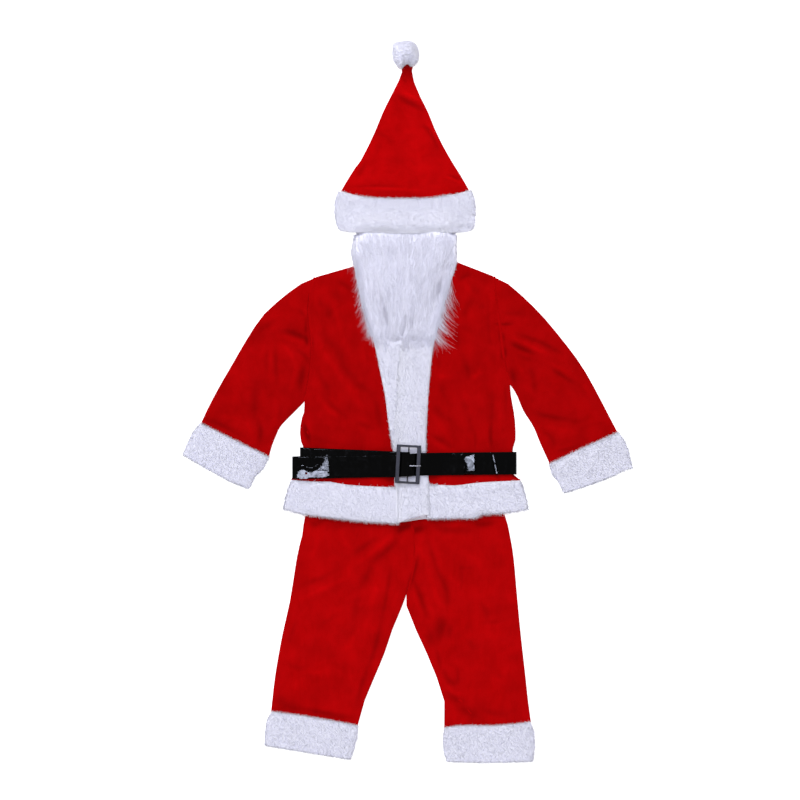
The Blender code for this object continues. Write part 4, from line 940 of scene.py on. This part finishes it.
def strandMesh(name, paths, radii, look):
    # closed three-sided strands with a pointed end, joined into one mesh
    paths = np.array(paths)
    count, steps = paths.shape[:2]
    way = np.gradient(paths, axis=1)
    way /= np.linalg.norm(way, axis=2, keepdims=True) + 1e-12
    side = np.cross(way, np.array([0.0, 0.0, 1.0]))
    side /= np.linalg.norm(side, axis=2, keepdims=True) + 1e-12
    lift = np.cross(side, way)
    taper = np.linspace(1.0, 0.22, steps)[None, :, None]
    radius = np.array(radii)[:, None, None] * taper
    rings = np.stack([paths + radius * (math.cos(a) * side + math.sin(a) * lift)
                      for a in (math.pi / 2, math.pi * 7 / 6, math.pi * 11 / 6)], axis=2)
    points = rings.reshape(-1, 3)
    last = (steps - 1) * 3
    quads = np.array([(s + k, s + (k + 1) % 3, s + 3 + (k + 1) % 3, s + 3 + k)
                      for s in range(0, last, 3) for k in range(3)])
    caps = np.array([(2, 1, 0), (last, last + 1, last + 2)])
    starts = (np.arange(count) * steps * 3)[:, None, None]
    allQuads = (quads[None] + starts).reshape(-1, 4)
    allCaps = (caps[None] + starts).reshape(-1, 3)
    mesh = bpy.data.meshes.new(name)
    mesh.from_pydata(points.tolist(), [], allQuads.tolist() + allCaps.tolist())
    mesh.validate()
    mesh.shade_smooth()
    mesh.materials.append(look)
    bm = bmesh.new()
    bm.from_mesh(mesh)
    bmesh.ops.recalc_face_normals(bm, faces=bm.faces[:])
    bm.to_mesh(mesh)
    bm.free()
    piece = placed(name, mesh)
    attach(piece, "root")
    return piece


def growStrand(x, y, length, seed, spread=0.0):
    steps = beardShape["steps"]
    line = [(x, y)]
    for _ in range(steps):
        slope = flowAt(x, y, seed) + spread
        pace = length / steps / math.hypot(slope, 1)
        x, y = x + slope * pace, y - pace
        line.append((x, y))
    return line


def makeBeardHair(base):
    surface = treeOfMesh(base.data)
    inset = beardShape["inset"]

    def heightAt(x, y):
        return max(topAt(x * mm, y * mm, surface), topAt(x * mm, y * mm, underBeard)) / mm

    def laidOver(flat):
        # lays a strand on what is under it; it comes down from a step in a slope
        points, before = [], None
        for x, y, lift in flat:
            z = heightAt(x, y) + lift
            if before:
                gone = math.hypot(x - before[0], y - before[1])
                z = max(z, before[2] - beardShape["fall"] * gone)
            before = (x, y, z)
            points.append((x * mm, y * mm, z * mm))
        return points

    rng = random.Random(31)
    locks = []
    for _ in range(beardShape["locks"]):
        y = rng.uniform(beardShape["low"] + 26, beardShape["top"])
        x = rng.uniform(edgeAt(beardLeft, y) + inset, edgeAt(beardRight, y) - inset)
        locks.append(growStrand(x, y, rng.uniform(60, 95), 2.0))
    starts = np.array([lock[0] for lock in locks])

    paths, radii = [], []
    for _ in range(beardShape["strands"]):
        end = beardShape["low"] + beardShape["ragged"] * rng.random()
        y = rng.uniform(end + 14, beardShape["top"])
        x = rng.uniform(edgeAt(beardLeft, y) + 1, edgeAt(beardRight, y) - 1)
        length = min(rng.uniform(42, 88), (y - end) * 1.06)
        line = growStrand(x, y, length, rng.uniform(0, 0.7))
        lock = locks[int(np.argmin(np.hypot(*(starts - (x, y)).T)))]
        pull = rng.uniform(0.15, 0.6)
        shift = np.array(lock) - np.array(lock[0]) + (x, y)
        rise = rng.uniform(0.2, 1.1)
        flat = []
        for i, (a, b) in enumerate(zip(line, shift.tolist())):
            t = i / (len(line) - 1)
            px = a[0] + (b[0] - a[0]) * pull * t + (lock[i][0] - a[0]) * 0.28 * pull * t * t
            flat.append((px, a[1], 0.2 + rise * math.sin(math.pi * min(1, 0.1 + 0.9 * t))
                         * (1 - 0.4 * t) - (0.6 * t ** 4 if y - length < 140 else 0)))
        paths.append(laidOver(flat))
        radii.append(beardShape["radius"] * rng.uniform(0.7, 1.25) * mm)
    hair = strandMesh("beard_hair", paths, radii, beardLook)

    paths, radii = [], []
    for _ in range(beardShape["wispLocks"]):
        part = rng.random()
        if part < 0.42:
            y = rng.uniform(140, 296)
            x = edgeAt(beardLeft, y) + rng.uniform(2, 12)
            spread, size = rng.uniform(-0.75, -0.05), rng.uniform(14, 36)
        elif part < 0.86:
            y = rng.uniform(134, 262)
            x = edgeAt(beardRight, y) - rng.uniform(2, 12)
            spread, size = rng.uniform(0.05, 0.5 + (262 - y) / 120), rng.uniform(22, 58)
        else:
            y = rng.uniform(120, 150)
            x = rng.uniform(edgeAt(beardLeft, y) + inset, edgeAt(beardRight, y) - inset)
            spread, size = rng.uniform(-0.2, 0.2), rng.uniform(12, 26)
        lock = growStrand(x, y, size, rng.uniform(0, 3), spread)
        for _ in range(rng.randint(1, 4)):
            ox, oy, close = rng.uniform(-3, 3), rng.uniform(-4, 4), rng.uniform(-0.2, 0.8)
            rise, turn = rng.uniform(0.4, 2.0), rng.uniform(-0.3, 0.3) * size
            flat = []
            for k, (px, py) in enumerate(lock):
                t = k / (len(lock) - 1)
                flat.append((px + ox * (1 - close * t) + turn * t * t, py + oy * (1 - close * t),
                             0.3 + rise * math.sin(math.pi * t)))
            paths.append(laidOver(flat))
            radii.append(rng.uniform(0.15, 0.31) * mm)
    wisps = strandMesh("beard_wisps", paths, radii, beardLook)
    return hair, wisps


beardBase = makeBeardBase()
beardHair, beardWisps = makeBeardHair(beardBase)
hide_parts("beard")
print("beard", [len(o.data.polygons) for o in (beardBase, beardHair, beardWisps)])


belt = {
    "edge": 2.8,
    "wall": 1.2,
    "buckle": 30,  # the strap stays plain up to here from its middle
    "fade": (34, 16),  # where its creases start, and over how much they come in
    "upper": 2.2,  # the upper layer is this thick at most
    "above": 6,  # it lies higher than this
    "soft": 1.4,
    "percent": 85,
    "wave": 0.25,
}

# flat tilted stretches of the vinyl: corners in mm, and the rise for each mm in x and y
beltFacets = [
    dict(corners=[(-224, -137), (-210, -129), (-200, -135), (-190, -135), (-180, -129),
                  (-173, -122), (-166, -111), (-160, -109), (-156, -116), (-154, -146),
                  (-148, -152), (-224, -158)],
         slope=(0.014, -0.109)),
    dict(corners=[(106, -108), (133, -99), (135, -142), (112, -143), (116, -128), (110, -118)],
         slope=(0.077, -0.105)),
    dict(corners=[(165.5, -101), (171.5, -101), (181, -146), (174.5, -147)], slope=(0.088, -0.107)),
]
beltCreases = [
    (-196, -92, -194, -112, -190, -122, 0.8, 4, 2),
    (-120, -100, -124, -122, -118, -148, 0.5, 6, 3),
    (-84, -100, -80, -124, -84, -148, 0.4, 5),
    (66, -102, 62, -124, 66, -146, 0.5, 5, 4),
    (92, -102, 98, -124, 92, -146, 0.6, 4, 3),
    (134, -100, 135, -124, 134, -146, 1.0, 3, 2),
    (150, -102, 154, -124, 150, -146, 0.5, 5, 4),
    (194, -102, 198, -124, 194, -144, 0.6, 4, 3),
]


def insideShare(points, corners, soft):
    # 1 well inside the polygon, 0 well outside, with a narrow slope over its edge
    ring = np.array(corners, float)
    gap = np.full(len(points), 1e9)
    inside = np.zeros(len(points), bool)
    for a, b in zip(ring, np.roll(ring, -1, axis=0)):
        way = b - a
        t = np.clip((points - a) @ way / (way @ way), 0, 1)
        gap = np.minimum(gap, np.linalg.norm(points - a - t[:, None] * way, axis=1))
        crosses = (a[1] > points[:, 1]) != (b[1] > points[:, 1])
        at = a[0] + (points[:, 1] - a[1]) / (b[1] - a[1] + 1e-9) * way[0]
        inside ^= crosses & (points[:, 0] < at)
    signed = np.where(inside, gap, -gap)
    t = np.clip(0.5 + signed / (2 * soft), 0, 1)
    return t * t * (3 - 2 * t)


def makeBelt():
    bm = mergedCopy("belt_strap")
    tree = nodeTrees["belt_strap"]
    every = bm.faces.layers.int.new("every")
    for face in bm.faces:
        face[every] = int(abs(face.calc_center_median().x) > belt["buckle"] * mm)
    refine(bm, every, belt["edge"] * mm)
    top = []
    for v in bm.verts:
        near = topAt(v.co.x, v.co.y, tree) - v.co.z < belt["upper"] * mm
        if abs(v.co.x) > belt["buckle"] * mm and near and v.co.z > belt["above"] * mm:
            top.append(v)
    points = planOf(top)
    fadeStart, fadeWidth = belt["fade"]
    fade = np.clip((np.abs(points[:, 0]) - fadeStart) / fadeWidth, 0, 1)
    rise = creaseRise(points, beltCreases)
    heights = np.array([v.co.z / mm for v in top])
    upper = np.array([v.normal.z > 0 for v in top])
    for spec in beltFacets:
        share = insideShare(points, spec["corners"], belt["soft"])
        along = points @ np.array(spec["slope"])
        low = min(float(np.array(c) @ np.array(spec["slope"])) for c in spec["corners"])
        level = np.percentile(heights[(share > 0.9) & upper], belt["percent"])
        under = np.where(upper, 0.0, belt["wall"])
        flat = level + along - low - under - heights
        rise = rise * (1 - share) + share * flat
    for v, height, share, (x, y) in zip(top, rise, fade, points):
        wave = noise.noise(Vector((x / 30, y / 40, 8.0)))
        v.co.z += (height + belt["wave"] * wave) * share * mm
    return finishPiece("belt_strap_vinyl", bm, vinylLook, 40)


def vinyl(name):
    look, tree, shader, place = nodesOf(name, {
        "Base Color": (0.0004, 0.0004, 0.0005, 1.0), "Specular IOR Level": 0.06})
    grain = noiseNode(tree, place, 75.0, 2.0, 1.2)
    roughFrom(tree, grain, {"From Min": 0.3, "From Max": 0.7, "To Min": 0.06, "To Max": 0.19},
              shader)
    bumpNode(tree, grain, 0.06, 0.001, shader)
    return look


def gunmetal(name, colour, rough):
    look, tree, shader, place = nodesOf(name, {"Metallic": 1.0})
    wear = noiseNode(tree, place, 130.0, 4.0, 0.4)
    tree.links.new(rampNode(tree, wear, [(0.3, tuple(c * 0.72 for c in colour)), (0.7, colour)]),
                   shader.inputs["Base Color"])
    roughFrom(tree, wear, {"To Min": rough - 0.06, "To Max": rough + 0.12}, shader)
    return look


vinylLook = vinyl("belt_vinyl")
beltPiece = makeBelt()
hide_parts("belt_strap")
for node, look in (("buckle_frame", gunmetal("buckle_gunmetal", (0.047, 0.046, 0.054), 0.36)),
                   ("buckle_prong", gunmetal("prong_steel", (0.62, 0.61, 0.64), 0.22))):
    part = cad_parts[node]
    part.data.materials.clear()
    part.data.materials.append(look)
print("belt", len(beltPiece.data.polygons))


seams = [
    ("sleeve_right", "jacket_front_right", seamPaintedLightLook),
    ("sleeve_left", "jacket_front_left", seamPaintedLightLook),
    ("trouser_front_right", "trouser_front_left", seamPaintedLightLook),
    ("hat_front", "hat_band", seamPaintedLightLook),
    ("sleeve_right", "sleeve_cuff_right", seamPaintedLightLook),
    ("sleeve_left", "sleeve_cuff_left", seamPaintedLightLook),
    ("trouser_front_right", "trouser_cuff_right", seamPaintedLightLook),
    ("trouser_front_left", "trouser_cuff_left", seamPaintedLightLook),
    ("jacket_front_right", "hem_front_right", seamPaintedLightLook),
    ("jacket_front_left", "hem_front_left", seamPaintedLightLook),
    ("jacket_front_right", "front_band_right", seamPaintedLightLook),
    ("jacket_front_left", "front_band_left", seamPaintedLightLook),
    ("hem_front_right", "front_band_right", plushTrim),
    ("hem_front_left", "front_band_left", plushTrim),
]
seamShape = {
    "reach": 3.4,
    "bin": 7.0,
    "radius": 2.2,
    "sink": 1.6,
    "wide": 4.0,  # a filling between two pieces of one kind
    "flat": 0.42,
    "tops": 14,  # points that its level is taken from
    "percent": 72,
}


visible = {**redMade, **{node: made[0] for node, made in whiteMade.items()}}


def seamLine(first, second):
    # points along the gap between two solids
    bm = mergedCopy(first)
    tree = nodeTrees[second]
    found = []
    for v in bm.verts:
        near = tree.find_nearest(v.co)
        if near[0] is not None and near[3] < seamShape["reach"] * mm:
            found.append((np.array(v.co) + np.array(near[0])) / 2)
    bm.free()
    found = np.array(found)
    plan = found[:, :2] - found[:, :2].mean(axis=0)
    axis = np.linalg.svd(plan, full_matrices=False)[2][0]
    bins = np.round(plan @ axis / (seamShape["bin"] * mm)).astype(int)
    line = []
    for b in sorted(set(bins)):
        group = found[bins == b]
        upper = group[group[:, 2] > group[:, 2].max() - 1.5 * mm]
        line.append(upper.mean(axis=0))
    return line


def makeSeam(first, second):
    line = seamLine(first, second)
    radius, flat = seamShape["radius"], 1.0
    if (first in redMade) == (second in redMade):
        # a broad flat filling, flush with the cloth on both sides
        tops, tree = topsOf((visible[first], visible[second]))
        radius, flat = seamShape["wide"], seamShape["flat"]
        near = [tree.find_n((*p[:2], 0), seamShape["tops"]) for p in line]
        levels = [np.percentile([tops[i].z for _, i, _ in found], seamShape["percent"])
                  for found in near]
        levels = np.convolve(np.pad(levels, 1, mode="edge"), (0.25, 0.5, 0.25), "valid")
        line = [(p[0], p[1], z - radius * flat * mm) for p, z in zip(line, levels)]
    else:
        line = [p - (0, 0, seamShape["sink"] * mm) for p in line]
    curve = bpy.data.curves.new("seam", "CURVE")
    curve.dimensions = "3D"
    curve.bevel_depth = radius * mm
    curve.bevel_resolution = 2
    curve.use_fill_caps = True
    spline = curve.splines.new("POLY")
    spline.points.add(len(line) - 1)
    for point, place in zip(spline.points, line):
        point.co = (*place, 1)
    holder = placed("seam", curve)
    bpy.context.view_layer.update()
    made = holder.evaluated_get(bpy.context.evaluated_depsgraph_get())
    mesh = bpy.data.meshes.new_from_object(made)
    bpy.data.objects.remove(holder)
    bm = bmesh.new()
    bm.from_mesh(mesh)
    bmesh.ops.remove_doubles(bm, verts=bm.verts[:], dist=1e-6)
    bmesh.ops.recalc_face_normals(bm, faces=bm.faces[:])
    for v in bm.verts:
        level = min(line, key=lambda p: math.hypot(p[0] - v.co.x, p[1] - v.co.y))[2]
        v.co.z = max(level + (v.co.z - level) * flat, 0.05 * mm)
    return bm


for first, second, look in seams:
    piece = finishPiece(f"seam_{first}_{second}", makeSeam(first, second), look)
print("seams")


# floor, light and camera
def makeFloor():
    bm = bmesh.new()
    bmesh.ops.create_grid(bm, x_segments=1, y_segments=1, size=6)
    bmesh.ops.translate(bm, vec=(0, 0, -0.0006), verts=bm.verts[:])
    mesh = meshFrom(bm, "floor")
    look, tree, shader, place = nodesOf("floor_paper", {
        "Roughness": 0.95, "Specular IOR Level": 0.0, "Emission Strength": 0.62,
        "Emission Color": (1.0, 1.0, 1.0, 1.0)})
    grain = noiseNode(tree, place, 900.0, 2.0)
    tree.links.new(rampNode(tree, grain, [(0.0, (0.93, 0.93, 0.93)), (1.0, (0.96, 0.96, 0.96))]),
                   shader.inputs["Base Color"])
    mesh.materials.append(look)
    placed("floor", mesh)


makeFloor()


def makeLight(name, kind, power, way):
    # shines from that way towards the middle of the set
    lamp = bpy.data.lights.new(name, kind)
    lamp.energy = power
    holder = placed(name, lamp)
    holder.rotation_euler = Vector(way).to_track_quat("Z", "Y").to_euler()
    return lamp, holder


glarePlace = (-0.474, 0.76, 4.6)  # where the shiny places of the vinyl mirror it
glare, holder = makeLight("glare", "AREA", 68, glarePlace)
glare.shape = "SQUARE"
glare.size = 0.36
glare.color = (0.72, 0.78, 1.0)
holder.location = glarePlace

key, holder = makeLight("key", "SUN", 1.46, (-0.42, 0.90, 1.05))
key.angle = math.radians(34)
holder.visible_glossy = False  # only the glare lamp mirrors in the vinyl

world = bpy.data.worlds.new("studio")
world.use_nodes = True
setInputs(world.node_tree.nodes["Background"], {"Color": (1, 1, 1, 1), "Strength": 0.605})
scene.world = world

shot = {"middle": (-0.016, 0.004), "width": 1.6, "lens": 120.0, "sensor": 36.0}  # straight down
camera = bpy.data.cameras.new("camera")
camera.lens = shot["lens"]
camera.sensor_width = shot["sensor"]
camera.clip_end = 50
eye = placed("camera", camera)
eye.location = (*shot["middle"], shot["width"] * shot["lens"] / shot["sensor"])
scene.camera = eye
print("floor, light and camera")
